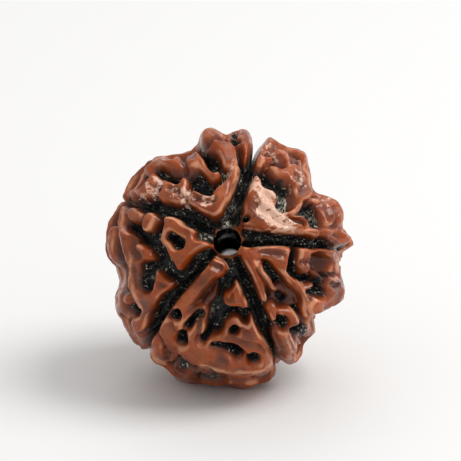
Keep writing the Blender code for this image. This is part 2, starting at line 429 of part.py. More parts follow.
def inside_line(plan, points):
    """How far each plan point lies inside a line whose half width changes along it; below nought outside."""
    line = cut_corners(points, False)
    starts = line[:-1] if len(line) > 1 else line
    ends = line[1:] if len(line) > 1 else line
    inside = np.full(len(plan), FAR_OUTSIDE)
    for start, end in zip(starts, ends):
        along = end[:2] - start[:2]
        length = max(along.dot(along), 1e-9)
        t = np.clip((plan - start[:2]) @ along / length, 0.0, 1.0)
        gap = np.hypot(*(plan - start[:2] - t[:, None] * along).T)
        inside = np.maximum(inside, start[2] + t * (end[2] - start[2]) - gap)
    return inside


def inside_outline(plan, points):
    """How far each plan point lies inside a closed outline; below nought outside."""
    line = cut_corners(points, True)
    nearest = np.full(len(plan), FAR_OFF)
    within = np.zeros(len(plan), dtype=bool)
    for start, end in zip(line, np.roll(line, -1, axis=0)):
        along = end - start
        t = np.clip((plan - start) @ along / max(along.dot(along), 1e-9), 0.0, 1.0)
        nearest = np.minimum(nearest, np.hypot(*(plan - start - t[:, None] * along).T))
        spans = (start[1] > plan[:, 1]) != (end[1] > plan[:, 1])
        rise = along[1] if abs(along[1]) > 1e-9 else 1e-9
        crossing = start[0] + (plan[:, 1] - start[1]) / rise * along[0]
        within ^= spans & (plan[:, 0] < crossing)
    return np.where(within, nearest, -nearest)


def near(plan, points):
    """The plan points close enough to a feature for it to matter."""
    corners = np.array(points)[:, :2]
    low = corners.min(axis=0) + FAR_OUTSIDE
    high = corners.max(axis=0) - FAR_OUTSIDE
    return np.nonzero(((plan > low) & (plan < high)).all(axis=1))[0]


def seen_on_plan(points):
    """Where points on the stone show on the plan from VIEW_DISTANCE away: what is nearer shows larger."""
    right, up, out = plan_axes()
    nearer = VIEW_DISTANCE / (VIEW_DISTANCE - points @ out)
    return np.stack((points @ right, points @ up), axis=1) * nearer[:, None]


def drawn_relief(plan, deep_plan):
    """The face's drawn ridges, plates and shelves joined softly, with its pits cut: depth inside, and height.

    Ridges are looked up where their tops show on the plan, and pits where their walls do. A shelf counts as
    only just inside, so the ridges that cross it stand above it.
    """
    total = np.full(len(plan), math.exp(FAR_OUTSIDE / SOFTNESS))
    heights = GROUND_HEIGHT * total
    kinds = (
        (RIDGES, inside_line, DEEP_INSIDE),
        (PLATES, inside_outline, DEEP_INSIDE),
        (SHELVES, inside_outline, SHELF_INSIDE),
    )
    for features, measure, most in kinds:
        for height, points in features:
            close = near(plan, points)
            weight = np.exp(np.clip(measure(plan[close], points), FAR_OUTSIDE, most) / SOFTNESS)
            total[close] += weight
            heights[close] += height * weight
    inside = SOFTNESS * np.log(total)
    for points in PITS:
        close = near(deep_plan, points)
        inside[close] = soft_min(inside[close], -inside_line(deep_plan[close], points))
    return inside, heights / total


def creased(plan):
    """How much the creases lower the ridge tops at each plan point, in mm."""
    depth = np.zeros(len(plan))
    for deepest, points in CREASES:
        close = near(plan, points)
        half = points[0][2]
        depth[close] += deepest * ease(inside_line(plan[close], points), CREASE_START * half, half)
    return depth


def ripple(points, wavelength, seed, waves=14):
    """Smooth noise, mostly from minus one to one: a sum of waves with seeded directions and starts."""
    draws = np.random.default_rng(seed)
    total = np.zeros(len(points))
    for _ in range(waves):
        way = unit(draws.normal(size=3))
        turns = 2.0 * math.pi / (wavelength * draws.uniform(0.8, 1.25))
        total += np.sin(points @ way * turns + draws.uniform(0.0, 2.0 * math.pi))
    return total / math.sqrt(2.0 * waves)


def pit_middles():
    """Middles and radii of the round pits: a spiral evenly over the ball, each one moved by a seeded step."""
    draws = np.random.default_rng(SEED)
    step = np.arange(PIT_COUNT) + 0.5
    height = 1.0 - 2.0 * step / PIT_COUNT
    turn = step * math.pi * (3.0 - math.sqrt(5.0))
    around = np.sqrt(1.0 - height ** 2)
    ball = np.stack((around * np.cos(turn), around * np.sin(turn), height), axis=1) * RING_RADIUS
    moved = ball + draws.normal(size=ball.shape) * PIT_JITTER
    return moved, PIT_RADIUS * draws.uniform(0.5, 1.4, size=PIT_COUNT)


def ruled_relief(directions):
    """Ridges of the sides and back: a maze of raised ground between channels, with round pits sunk in it."""
    ball = directions * RING_RADIUS
    warp = np.stack([ripple(ball, WARP_WAVE, SEED + 1 + axis) for axis in range(3)], axis=1)
    ball = ball + WARP * warp
    maze = ripple(ball, MAZE_WAVE, SEED + 5, MAZE_WAVES) * math.sqrt(2.0)
    ground = MAZE_GROUND + MAZE_SWING * ripple(ball, MAZE_SWING_WAVE, SEED + 7)
    inside = MAZE_SLOPE * (maze - ground)
    for middle, radius in zip(*pit_middles()):
        close = np.nonzero(np.abs(ball - middle).max(axis=1) < radius - FAR_OUTSIDE)[0]
        gap = np.linalg.norm(ball[close] - middle, axis=1)
        inside[close] = soft_min(inside[close], gap - radius)
    return inside, MAZE_HEIGHT + MAZE_HEIGHT_SWING * ripple(ball, MAZE_HEIGHT_WAVE, SEED + 9)


def pole_angles(directions):
    """Angle from the hole's axis, and turn round it."""
    across, over, pole = pole_axes()
    from_pole = np.arccos(np.clip(directions @ pole, -1.0, 1.0))
    return from_pole, np.arctan2(directions @ over, directions @ across)


def inside_grooves(directions):
    """How far each direction lies inside the nearest groove, in mm; below nought outside them."""
    right, up, out = plan_axes()
    from_pole, turn = pole_angles(directions)
    inside = np.full(len(directions), -FAR_OFF)
    for points in GROOVES:
        x, y, half = np.array(points).T
        depth = np.sqrt(RING_RADIUS ** 2 - x ** 2 - y ** 2)
        smaller = 1.0 - depth / VIEW_DISTANCE
        line = unit_rows(np.stack((x * smaller, y * smaller, depth), axis=1)) @ np.stack((right, up, out))
        line_angle, line_turn = pole_angles(line)
        middle = np.interp(from_pole, line_angle, np.unwrap(line_turn))
        bend = np.sin(3.0 * from_pole + 2.0 * line_turn[-1]) * ease(from_pole, *GROOVE_BEND_STARTS)
        middle = middle + GROOVE_BEND * bend
        off = np.angle(np.exp(1j * (turn - middle)))
        gap = np.abs(off) * np.sin(from_pole) * RING_RADIUS
        gap = np.where(np.abs(off) > GROOVE_REACH, FAR_OFF, gap)
        inside = np.maximum(inside, np.interp(from_pole, line_angle, half) - gap)
    return inside


def envelope(directions):
    """Radius to the ridge tops: a slightly flattened ball, with the face's rim and the foot worked in."""
    right, up, out = plan_axes()
    pole = pole_axes()[2]
    along = directions @ pole
    ball = 1.0 / np.sqrt((1.0 - along ** 2) / RING_RADIUS ** 2 + along ** 2 / POLE_RADIUS ** 2)
    facing = directions @ out
    angle = np.degrees(np.arctan2(directions @ up, directions @ right))
    rim_angle, rim_radius = np.array(RIM, dtype=float).T
    rim = sum(np.interp(angle + step * RIM_SOFTENING, rim_angle, rim_radius, period=360.0)
              for step in (-1.0, 0.0, 0.0, 1.0)) / 4.0
    share = ease(facing, *RIM_FRONT) * ease(facing, *RIM_BACK)
    radius = ball + share * (rim - ball)
    return radius + FOOT_RISE * ease(inside_foot(directions), *FOOT_BLEND)


def inside_foot(directions):
    """How far each direction lies inside the wavy-edged knob under the seed; below nought outside."""
    ball = directions * RING_RADIUS
    edge = FOOT_RADIUS + FOOT_SWING * np.clip(ripple(ball, FOOT_WAVE, SEED + 11), -1.0, 1.0)
    return np.where(ball[:, 2] < 0.0, edge - np.hypot(ball[:, 0], ball[:, 1]), -FAR_OFF)


def looked_up(directions, top):
    """Where ridge tops and pit walls in these directions show on the plan, far off for all behind the face.

    A small waver keeps the drawn edges from being too even.
    """
    facing = directions @ plan_axes()[2]
    ball = directions * RING_RADIUS
    waver = EDGE_WAVER * np.stack([ripple(ball, EDGE_WAVE, SEED + 21 + axis) for axis in range(2)], axis=1)
    lower = ease(facing, 0.0, RIM_FACING)
    behind = (facing < 0.0)[:, None]
    return [
        np.where(behind, FAR_OFF, waver + seen_on_plan(directions * (top - depth * lower)[:, None]))
        for depth in (TOP_DEPTH, PIT_DEPTH)
    ]


def relief(directions):
    """Radius of the stone's surface in each direction, and how far each point lies inside raised ground.

    The radius is the envelope, less the depth of the channels and pits, less the grooves. The drawn face
    gives way to the rule where the surface turns away from the plan. The rule runs a ridge along each side of
    every groove, and a wavering one round the face's rim, which makes the outline.
    """
    top = envelope(directions)
    ball = directions * RING_RADIUS
    facing = directions @ plan_axes()[2]
    plans = looked_up(directions, top)
    drawn, drawn_height = drawn_relief(*plans)
    ruled, ruled_height = ruled_relief(directions)
    foot = inside_foot(directions)
    groove = np.minimum(inside_grooves(directions), -foot)
    border = BORDER_HALF - np.abs(groove + BORDER_GAP) + MAZE_SWING * ripple(ball, BORDER_WAVE, SEED + 13)
    rim = RIM_HALF - np.abs(facing) * RING_RADIUS + RIM_SWING * ripple(ball, RIM_WAVE, SEED + 15)
    ruled = np.maximum(np.maximum(ruled, border), rim)
    share = ease(facing, *FACE_ENDS)
    inside = ruled + share * (drawn - ruled)
    height = ruled_height + share * (drawn_height - ruled_height)
    inside = np.maximum(soft_min(inside, -groove), foot)
    height = np.where(foot > 0.0, 1.0, height)
    low = RIDGE_HEIGHT * (1.0 - height * shoulder(inside))
    low = low + share * creased(plans[0]) * ease(inside, *CREASED_INSIDE)
    low = low + GROOVE_EXTRA * ease(groove, *GROOVE_SLOPE)
    radius = top + TOP_WAVER * ripple(ball, TOP_WAVE, SEED + 23) - low
    from_pole = pole_angles(directions)[0]
    from_mouth = np.minimum(from_pole, math.pi - from_pole) * POLE_RADIUS - MOUTH_RADIUS
    mouth = POLE_RADIUS - MOUTH_SINK
    return mouth + (radius - mouth) * ease(from_mouth, 0.0, MOUTH_BLEND), inside


def outer_directions(columns, rows):
    """Directions of the outside's grid, from the face's mouth to the back's: rows round the hole's axis."""
    start = MOUTH_RADIUS / (POLE_RADIUS - MOUTH_SINK)
    from_pole = np.linspace(start, math.pi - start, rows)[:, None]
    turn = np.linspace(0.0, 2.0 * math.pi, columns, endpoint=False)[None, :]
    x = np.sin(from_pole) * np.cos(turn)
    y = np.sin(from_pole) * np.sin(turn)
    z = np.cos(from_pole) + 0.0 * turn
    return np.stack((x, y, z), axis=-1).reshape(-1, 3) @ np.stack(pole_axes())


def outer_rows(columns, rows):
    """Points of the outside's grid."""
    directions = outer_directions(columns, rows)
    return (directions * relief(directions)[0][:, None]).reshape(rows, columns, 3)


def bore_rows(first_ring, last_ring, count):
    """Grid of the hole's wall, from the back's mouth to the face's: two rings joined through the stone."""
    axes = np.stack(pole_axes())
    first = first_ring @ axes.T
    last = last_ring @ axes.T
    share = np.linspace(0.0, 1.0, count + 2)[1:-1, None]
    along = last[:, 2] + share * (first[:, 2] - last[:, 2])
    turn = np.arctan2(first[:, 1], first[:, 0])
    from_mouth = np.minimum(share, 1.0 - share) * 2.0 * POLE_RADIUS
    radius = BORE_RADIUS + (MOUTH_RADIUS - BORE_RADIUS) * ease(from_mouth, 3.0, 0.0)
    wall = np.stack((radius * np.cos(turn), radius * np.sin(turn), along), axis=-1)
    return wall @ axes


def seed_points(columns, rows, bore):
    """The whole closed grid, stood on its flat spot: the last row meets the first."""
    outside = outer_rows(columns, rows)
    wall = bore_rows(outside[0], outside[-1], bore)
    grid = np.concatenate((outside, wall), axis=0)
    grid[:, :, 2] = np.maximum(grid[:, :, 2], -FLOOR_DROP)
    low = grid.min(axis=(0, 1))
    high = grid.max(axis=(0, 1))
    middle = (low + high) / 2.0
    return grid - np.array((middle[0], middle[1], low[2]))


def grid_mesh(name, grid):
    """A mesh of quads over a grid that closes on itself both ways, faces outward, in metres."""
    rows, columns, _ = grid.shape
    index = np.arange(rows * columns).reshape(rows, columns)
    below = np.roll(index, -1, axis=0)
    quads = np.stack((index, below, np.roll(below, -1, axis=1), np.roll(index, -1, axis=1)), axis=-1)
    mesh = bpy.data.meshes.new(name)
    mesh.from_pydata((grid * METRES).reshape(-1, 3).tolist(), [], quads.reshape(-1, 4).tolist())
    return mesh


def thin_out(seed):
    """Cuts the fine grid down to the triangles that the shape needs, and keeps the flat spot flat."""
    fine = 2 * len(seed.data.polygons)
    modifier = seed.modifiers.new("thin", "DECIMATE")
    modifier.ratio = TRIANGLES / fine
    evaluated = seed.evaluated_get(bpy.context.evaluated_depsgraph_get())
    thinned = bpy.data.meshes.new_from_object(evaluated)
    seed.modifiers.remove(modifier)
    seed.data = thinned
    shape = bmesh.new()
    shape.from_mesh(thinned)
    bmesh.ops.triangulate(shape, faces=shape.faces[:])
    for point in shape.verts:
        if point.co.z < FLAT_WITHIN * METRES:
            point.co.z = 0.0
    bmesh.ops.recalc_face_normals(shape, faces=shape.faces[:])
    shape.to_mesh(thinned)
    shape.free()
    thinned.name = "rudraksha_seed"


def seed_material():
    """Oiled stone of the fruit, red-brown."""
    material = bpy.data.materials.new("oiled_seed_stone")
    material.use_nodes = True
    shader = material.node_tree.nodes["Principled BSDF"]
    shader.inputs["Base Color"].default_value = (0.30, 0.09, 0.035, 1.0)
    shader.inputs["Roughness"].default_value = 0.42
    shader.inputs["Metallic"].default_value = 0.0
    return material


def build():
    """Clears the scene and makes the seed."""
    for thing in list(bpy.data.objects):
        bpy.data.objects.remove(thing)
    mesh = grid_mesh("fine_seed", seed_points(COLUMNS, ROWS, BORE_ROWS))
    seed = bpy.data.objects.new("rudraksha_seed", mesh)
    bpy.context.collection.objects.link(seed)
    thin_out(seed)
    seed.data.materials.append(seed_material())
    seed.data.shade_smooth()
    return seed


build()
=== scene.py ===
# %% [markdown]
# A rudraksha is the stone of a fruit: one hard piece, parted by grooves into lobes that meet at a natural
# hole. It lies on its side on a pale table, with the hole towards us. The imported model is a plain, faceted
# stone. This script makes the same stone again on a much finer grid, so that its net of ridges and pits is
# smooth and crisp, and then gives it its oiled skin, the dark fibre in its recesses and a soft studio
# light.

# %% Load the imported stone
import math

import bpy
import numpy as np
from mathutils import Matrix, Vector


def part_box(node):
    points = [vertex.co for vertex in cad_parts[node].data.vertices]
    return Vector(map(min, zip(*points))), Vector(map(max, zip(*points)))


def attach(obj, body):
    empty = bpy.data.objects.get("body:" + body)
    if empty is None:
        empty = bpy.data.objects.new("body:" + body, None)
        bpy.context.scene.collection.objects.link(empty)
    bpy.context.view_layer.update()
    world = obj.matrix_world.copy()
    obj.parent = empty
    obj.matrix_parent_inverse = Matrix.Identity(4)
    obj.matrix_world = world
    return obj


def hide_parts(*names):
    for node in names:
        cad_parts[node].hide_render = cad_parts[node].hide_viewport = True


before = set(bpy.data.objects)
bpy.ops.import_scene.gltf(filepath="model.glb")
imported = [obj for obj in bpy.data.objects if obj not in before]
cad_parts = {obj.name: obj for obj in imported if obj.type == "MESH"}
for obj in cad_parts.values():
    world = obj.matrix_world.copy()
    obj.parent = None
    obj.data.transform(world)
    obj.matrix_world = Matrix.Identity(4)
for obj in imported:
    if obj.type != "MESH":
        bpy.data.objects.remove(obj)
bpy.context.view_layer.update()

# %% [markdown]
# The stone is nearly a ball, a little flatter along its hole. All its sizes are in millimetres here and
# become metres only when a mesh is made. Each size is named once, and everything else is worked out from
# these.

# %% Sizes of the stone, in millimetres
RING_RADIUS = 12.6
POLE_RADIUS = 11.5
MOUTH_RADIUS = 1.4
BORE_RADIUS = 1.15
RIDGE_HEIGHT = 2.2
GROOVE_EXTRA = 0.8
FLOOR_DROP = 12.4
METRES = 0.001
FACE_ELEVATION = 20.0
POLE_PLAN = (-0.3, 1.8)
VIEW_DISTANCE = 400.0
TOP_DEPTH = 0.8
PIT_DEPTH = 1.0
RIM_FACING = 0.6
print("stone across:", 2 * RING_RADIUS, "mm; hole:", 2 * BORE_RADIUS, "mm")

# %% Values that shape the edges of ridges, and the rule for the sides and the back
EDGE_WIDTH = 0.66
EDGE_OUTSIDE = 0.2
EDGE_FULLNESS = 1.8
EDGE_WAVER = 0.11
EDGE_WAVE = 1.9
TOP_WAVER = 0.2
TOP_WAVE = 3.6
SOFTNESS = 0.12
DEEP_INSIDE = 3.0
SHELF_INSIDE = 0.2
FAR_OUTSIDE = -1.6
FAR_OFF = 99.0
GROUND_HEIGHT = 0.6
CREASE_START = -0.3
CREASED_INSIDE = (-0.1, 0.3)
GROOVE_SLOPE = (-0.1, 0.6)
FACE_ENDS = (0.02, 0.22)
RIM_FRONT = (0.62, 0.2)
RIM_BACK = (-0.5, -0.12)
RIM_HALF = 1.3
RIM_SWING = 0.7
RIM_WAVE = 3.5
RIM_SOFTENING = 1.5
MOUTH_BLEND = 0.5
MOUTH_SINK = 0.9
MOUTH_FLARE = 3.0
FOOT_RISE = 0.35
FOOT_BLEND = (-5.0, 0.5)
FOOT_RADIUS = 3.2
FOOT_SWING = 0.6
FOOT_WAVE = 4.0
MAZE_WAVE = 3.5
MAZE_GROUND = -0.12
MAZE_SLOPE = 0.75
MAZE_SWING = 0.35
MAZE_SWING_WAVE = 8.0
MAZE_WAVES = 40
MAZE_HEIGHT = 0.9
MAZE_HEIGHT_SWING = 0.12
MAZE_HEIGHT_WAVE = 4.0
PIT_COUNT = 190
PIT_RADIUS = 0.5
PIT_SPREAD = (0.5, 1.4)
PIT_JITTER = 1.1
WARP = 0.7
WARP_WAVE = 5.0
BORDER_GAP = 0.6
BORDER_HALF = 0.5
BORDER_WAVE = 5.0
GROOVE_BEND = 0.08
GROOVE_BENDS = 3.0
GROOVE_BEND_SHIFT = 2.0
GROOVE_BEND_STARTS = (1.2, 1.9)
GROOVE_REACH = 1.2
RIPPLE_WAVES = 14
RIPPLE_SPREAD = (0.8, 1.25)
TINY = 1e-9
SEED = 5
print("ridge height:", RIDGE_HEIGHT, "mm")

# %% [markdown]
# The face that we look at was drawn the way a carver marks out a block: on a flat plan, x to the right and
# y up from the stone's middle. The rim says how far the outline stands out at each angle. A groove or a
# ridge is a line of points with half its width, and a plate is a closed outline. Ridges and plates also say
# how high they stand, as a share of a full ridge.

# %% The rim of the face, and the five grooves
RIM = [
    (0, 11.3), (3, 11.2), (6, 12.8), (11, 12.4), (15, 12.0), (20, 12.4), (25, 12.4), (29, 12.0),
    (33, 11.3), (37, 10.7), (41, 11.1), (46, 12.0), (51, 12.2), (55, 12.8), (62, 12.7), (67, 12.7),
    (71, 12.9), (74, 12.5), (76, 11.2), (79, 12.0), (81, 12.9), (84, 13.2), (88, 12.7), (92, 12.2),
    (94, 12.7), (98, 13.6), (102, 13.4), (105, 12.3), (110, 11.5), (116, 11.4), (120, 11.9),
    (124, 12.6), (128, 12.9), (138, 12.6), (142, 12.6), (147, 12.6), (152, 12.6), (158, 12.9),
    (163, 12.9), (170, 12.7), (176, 12.6), (181, 12.5), (185, 11.6), (191, 11.3), (195, 11.7),
    (197, 12.2), (202, 12.8), (206, 12.8), (211, 12.4), (215, 12.7), (221, 12.8), (226, 12.7),
    (229, 12.5), (233, 13.0), (239, 12.8), (243, 13.1), (248, 13.3), (252, 13.3), (257, 13.2),
    (264, 12.8), (270, 12.7), (274, 12.9), (279, 13.0), (283, 12.7), (288, 12.8), (292, 12.4),
    (294, 11.6), (296, 11.4), (298, 12.2), (302, 12.3), (306, 12.0), (309, 11.6), (312, 11.4),
    (319, 11.3), (322, 10.6), (325, 9.9), (328, 10.5), (332, 11.4), (338, 12.1), (344, 12.0),
    (349, 11.5), (354, 11.4),
]
GROOVES = [
    [(-0.1, 3.2, 0.2), (0.1, 4.2, 0.55), (0.3, 5.3, 0.6), (1.0, 7.3, 0.5), (1.6, 8.8, 0.5), (2.3, 10.6, 0.4)],
    [(1.3, 1.9, 0.45), (2.5, 1.8, 0.55), (5.0, 1.9, 0.45), (7.0, 1.7, 0.4), (9.0, 1.4, 0.3),
     (10.8, 1.2, 0.15)],
    [(0.9, -0.3, 0.45), (1.9, -2.3, 0.6), (2.6, -4.2, 0.55), (3.3, -6.2, 0.5), (4.5, -9.4, 0.3),
     (4.8, -10.4, 0.25)],
    [(-1.9, 0.7, 0.4), (-3.3, -0.8, 0.6), (-5.0, -2.7, 0.6), (-6.3, -4.4, 0.55), (-7.8, -7.2, 0.4),
     (-8.6, -8.8, 0.3)],
    [(-1.9, 2.9, 0.5), (-2.8, 3.7, 0.6), (-4.2, 4.4, 0.5), (-6.5, 5.1, 0.35), (-9.0, 5.6, 0.25),
     (-10.8, 6.0, -0.1)],
]
print(len(GROOVES), "grooves")

# %% The lobe to the upper left
UPPER_LEFT_RIDGES = [
    (1.0, [(-2.1, 11.9, 1.1), (-1.8, 11.9, 1.15)]),
    (0.95, [(-3.4, 10.1, 0.45), (-2.8, 9.2, 0.4), (-2.1, 8.3, 0.45), (-1.6, 7.9, 0.4), (-1.2, 8.1, 0.25)]),
    (0.95, [(-3.5, 9.6, 0.85), (-4.6, 9.3, 0.9), (-5.6, 9.3, 0.85), (-6.6, 9.8, 0.6), (-7.5, 9.7, 0.6),
            (-8.1, 8.9, 0.5), (-8.7, 8.3, 0.45)]),
    (0.85, [(-8.8, 8.3, 0.4), (-9.5, 7.5, 0.4), (-10.0, 6.7, 0.45), (-10.1, 5.9, 0.4)]),
]
UPPER_LEFT_PLATES = [
    (1.0, [(-0.5, 11.4), (-0.4, 12.3), (0.5, 12.8), (1.4, 13.1), (2.2, 12.8), (2.4, 11.6), (2.3, 10.4),
           (1.9, 9.4), (1.4, 9.2), (1.2, 10.2), (0.8, 11.0), (0.2, 11.4)]),
    (1.0, [(-2.2, 11.0), (-1.4, 11.5), (-0.4, 11.5), (0.4, 11.1), (0.8, 10.3), (0.8, 9.2), (0.5, 8.5),
           (-0.5, 8.5), (-0.9, 9.3), (-1.2, 10.1), (-1.7, 10.7)]),
    (0.95, [(-8.2, 8.3), (-7.7, 8.6), (-7.2, 8.3), (-7.1, 7.6), (-7.4, 6.8), (-7.4, 6.2), (-8.0, 5.9),
            (-8.8, 5.9), (-9.4, 6.3), (-9.9, 6.9), (-9.3, 7.1), (-8.7, 7.1), (-8.3, 7.5)]),
    (0.95, [(-6.7, 7.9), (-6.3, 7.9), (-5.7, 7.4), (-5.1, 7.2), (-4.9, 7.7), (-4.5, 8.1), (-4.1, 7.9),
            (-4.0, 7.0), (-4.2, 6.2), (-4.4, 5.4), (-5.2, 5.2), (-6.0, 5.4), (-6.7, 5.6), (-7.3, 6.0),
            (-6.7, 6.4), (-6.5, 7.2)]),
    (1.0, [(-4.2, 5.6), (-3.9, 6.8), (-3.2, 6.6), (-2.6, 6.1), (-1.9, 6.0), (-1.4, 6.6), (-0.6, 7.4),
           (0.1, 8.3), (0.7, 8.9), (1.0, 8.6), (0.6, 7.4), (0.1, 6.1), (-0.4, 5.0), (-1.1, 4.1),
           (-1.6, 3.8), (-2.4, 4.2), (-3.3, 4.8)]),
]
UPPER_LEFT_PITS = [
    [(-2.5, 10.5, 0.3), (-1.8, 9.6, 0.5), (-1.4, 8.8, 0.4)],
    [(-7.1, 8.8, 0.3), (-6.7, 8.4, 0.45)],
    [(-9.0, 7.2, 0.25), (-8.4, 8.1, 0.3)],
    [(0.5, 12.3, 0.25), (0.3, 11.9, 0.3), (0.5, 11.5, 0.3), (0.9, 11.4, 0.2)],
]
UPPER_LEFT_CREASES = [
    (0.7, [(-2.9, 11.2, 0.3), (-2.2, 11.1, 0.35), (-1.5, 11.6, 0.3), (-0.6, 11.8, 0.25)]),
    (0.5, [(-6.4, 10.0, 0.3), (-5.7, 9.8, 0.3), (-5.2, 9.9, 0.25)]),
    (-0.3, [(-6.8, 9.6, 0.25), (-6.2, 9.1, 0.25), (-5.5, 9.1, 0.25), (-4.9, 9.5, 0.25)]),
    (0.5, [(-4.7, 10.1, 0.4), (-4.3, 9.2, 0.4), (-4.5, 8.6, 0.4)]),
    (0.5, [(-3.2, 5.7, 0.5), (-2.2, 5.4, 0.45), (-1.5, 5.5, 0.4)]),
    (0.4, [(-5.7, 6.6, 0.35), (-5.0, 6.4, 0.4), (-4.7, 5.8, 0.35)]),
    (0.4, [(-7.6, 6.8, 0.35), (-7.3, 6.5, 0.35)]),
    (0.6, [(0.9, 10.9, 0.25), (1.2, 10.2, 0.3), (1.1, 9.2, 0.35)]),
    (0.5, [(-0.6, 11.9, 0.25), (-0.2, 11.4, 0.25), (0.6, 11.3, 0.2)]),
]
print("upper left:", len(UPPER_LEFT_RIDGES), "ridges,", len(UPPER_LEFT_PLATES), "plates")

# %% The lobe to the left
LEFT_RIDGES = [
    (0.9, [(-9.6, 4.4, 0.75), (-9.2, 4.2, 0.7)]),
    (0.85, [(-10.8, 5.0, 0.45), (-10.9, 4.2, 0.45), (-11.0, 3.3, 0.45), (-10.6, 2.6, 0.45)]),
    (0.9, [(-7.7, 3.9, 0.6), (-8.1, 3.1, 0.55)]),
    (0.85, [(-11.9, 3.0, 0.45), (-12.2, 1.5, 0.45), (-12.1, 0.0, 0.45), (-11.6, -1.2, 0.45),
            (-11.1, -2.2, 0.45), (-11.0, -3.0, 0.4)]),
    (0.9, [(-10.4, -4.1, 0.6), (-10.1, -4.3, 0.5)]),
    (0.85, [(-11.3, -3.6, 0.4), (-11.4, -4.6, 0.5), (-11.2, -5.3, 0.5), (-10.4, -6.0, 0.4)]),
    (0.8, [(-10.1, -7.4, 0.6), (-9.3, -8.2, 0.6), (-8.6, -8.6, 0.4)]),
]
LEFT_PLATES = [
    (1.0, [(-6.5, 4.2), (-5.8, 4.2), (-5.0, 3.8), (-4.2, 3.2), (-3.4, 2.7), (-3.5, 2.1), (-2.9, 1.7),
           (-2.1, 1.6), (-1.8, 1.2), (-2.6, 1.0), (-3.2, 0.7), (-3.7, 0.2), (-4.2, -0.7), (-4.7, -1.3),
           (-5.2, -1.2), (-5.4, -0.7), (-6.0, 0.1), (-6.2, 0.8), (-6.9, 1.6), (-6.6, 2.6), (-6.5, 3.3)]),
    (0.95, [(-11.0, 2.8), (-10.4, 2.9), (-9.7, 2.5), (-9.3, 2.0), (-9.3, 1.5), (-8.6, 1.3), (-8.0, 0.9),
            (-7.4, 0.2), (-7.8, -0.3), (-8.9, -0.5), (-8.9, -1.6), (-8.9, -2.6), (-8.6, -3.3), (-7.9, -3.4),
            (-7.4, -2.9), (-7.3, -1.9), (-7.1, -1.1), (-6.6, -1.8), (-6.0, -2.2), (-5.5, -2.8),
            (-5.8, -3.2), (-6.6, -3.5), (-6.9, -4.1), (-7.6, -5.0), (-8.0, -6.1), (-8.4, -7.1),
            (-9.0, -7.4), (-9.7, -7.2), (-10.1, -6.6), (-10.0, -6.0), (-9.5, -5.7), (-8.8, -5.6),
            (-9.0, -4.7), (-9.5, -3.7), (-10.0, -2.6), (-9.9, -1.5), (-9.9, -0.5), (-10.3, 0.5),
            (-10.6, 1.5)]),
]
LEFT_PITS = [
    [(-5.6, 2.0, 0.45), (-4.9, 1.4, 0.55)],
    [(-8.1, -0.9, 0.5), (-8.2, -1.8, 0.6), (-8.2, -2.6, 0.6)],
    [(-10.2, -5.2, 0.3), (-9.3, -5.3, 0.35)],
    [(-9.8, 3.1, 0.3), (-9.1, 2.9, 0.4)],
]
LEFT_CREASES = [
    (0.5, [(-10.3, 3.6, 0.35), (-10.1, 4.9, 0.3)]),
    (0.45, [(-9.6, 1.9, 0.35), (-9.2, 0.9, 0.4), (-8.9, 0.1, 0.5)]),
    (0.5, [(-9.4, -0.7, 0.4), (-9.3, -1.7, 0.4), (-9.1, -2.8, 0.35)]),
    (-0.25, [(-10.8, 2.2, 0.25), (-10.4, 0.8, 0.25), (-9.9, -0.8, 0.25), (-10.0, -2.2, 0.25),
             (-9.5, -3.6, 0.25), (-8.9, -4.8, 0.25)]),
    (0.5, [(-9.7, -3.6, 0.3), (-9.6, -4.7, 0.3)]),
    (0.6, [(-11.2, 1.9, 0.3), (-11.1, 0.2, 0.35), (-10.7, -1.2, 0.3)]),
    (0.5, [(-9.9, -7.0, 0.3), (-9.0, -7.6, 0.35), (-8.4, -7.6, 0.3)]),
    (0.3, [(-6.9, -2.3, 0.3), (-6.3, -2.7, 0.3)]),
]
print("left:", len(LEFT_RIDGES), "ridges,", len(LEFT_PLATES), "plates")

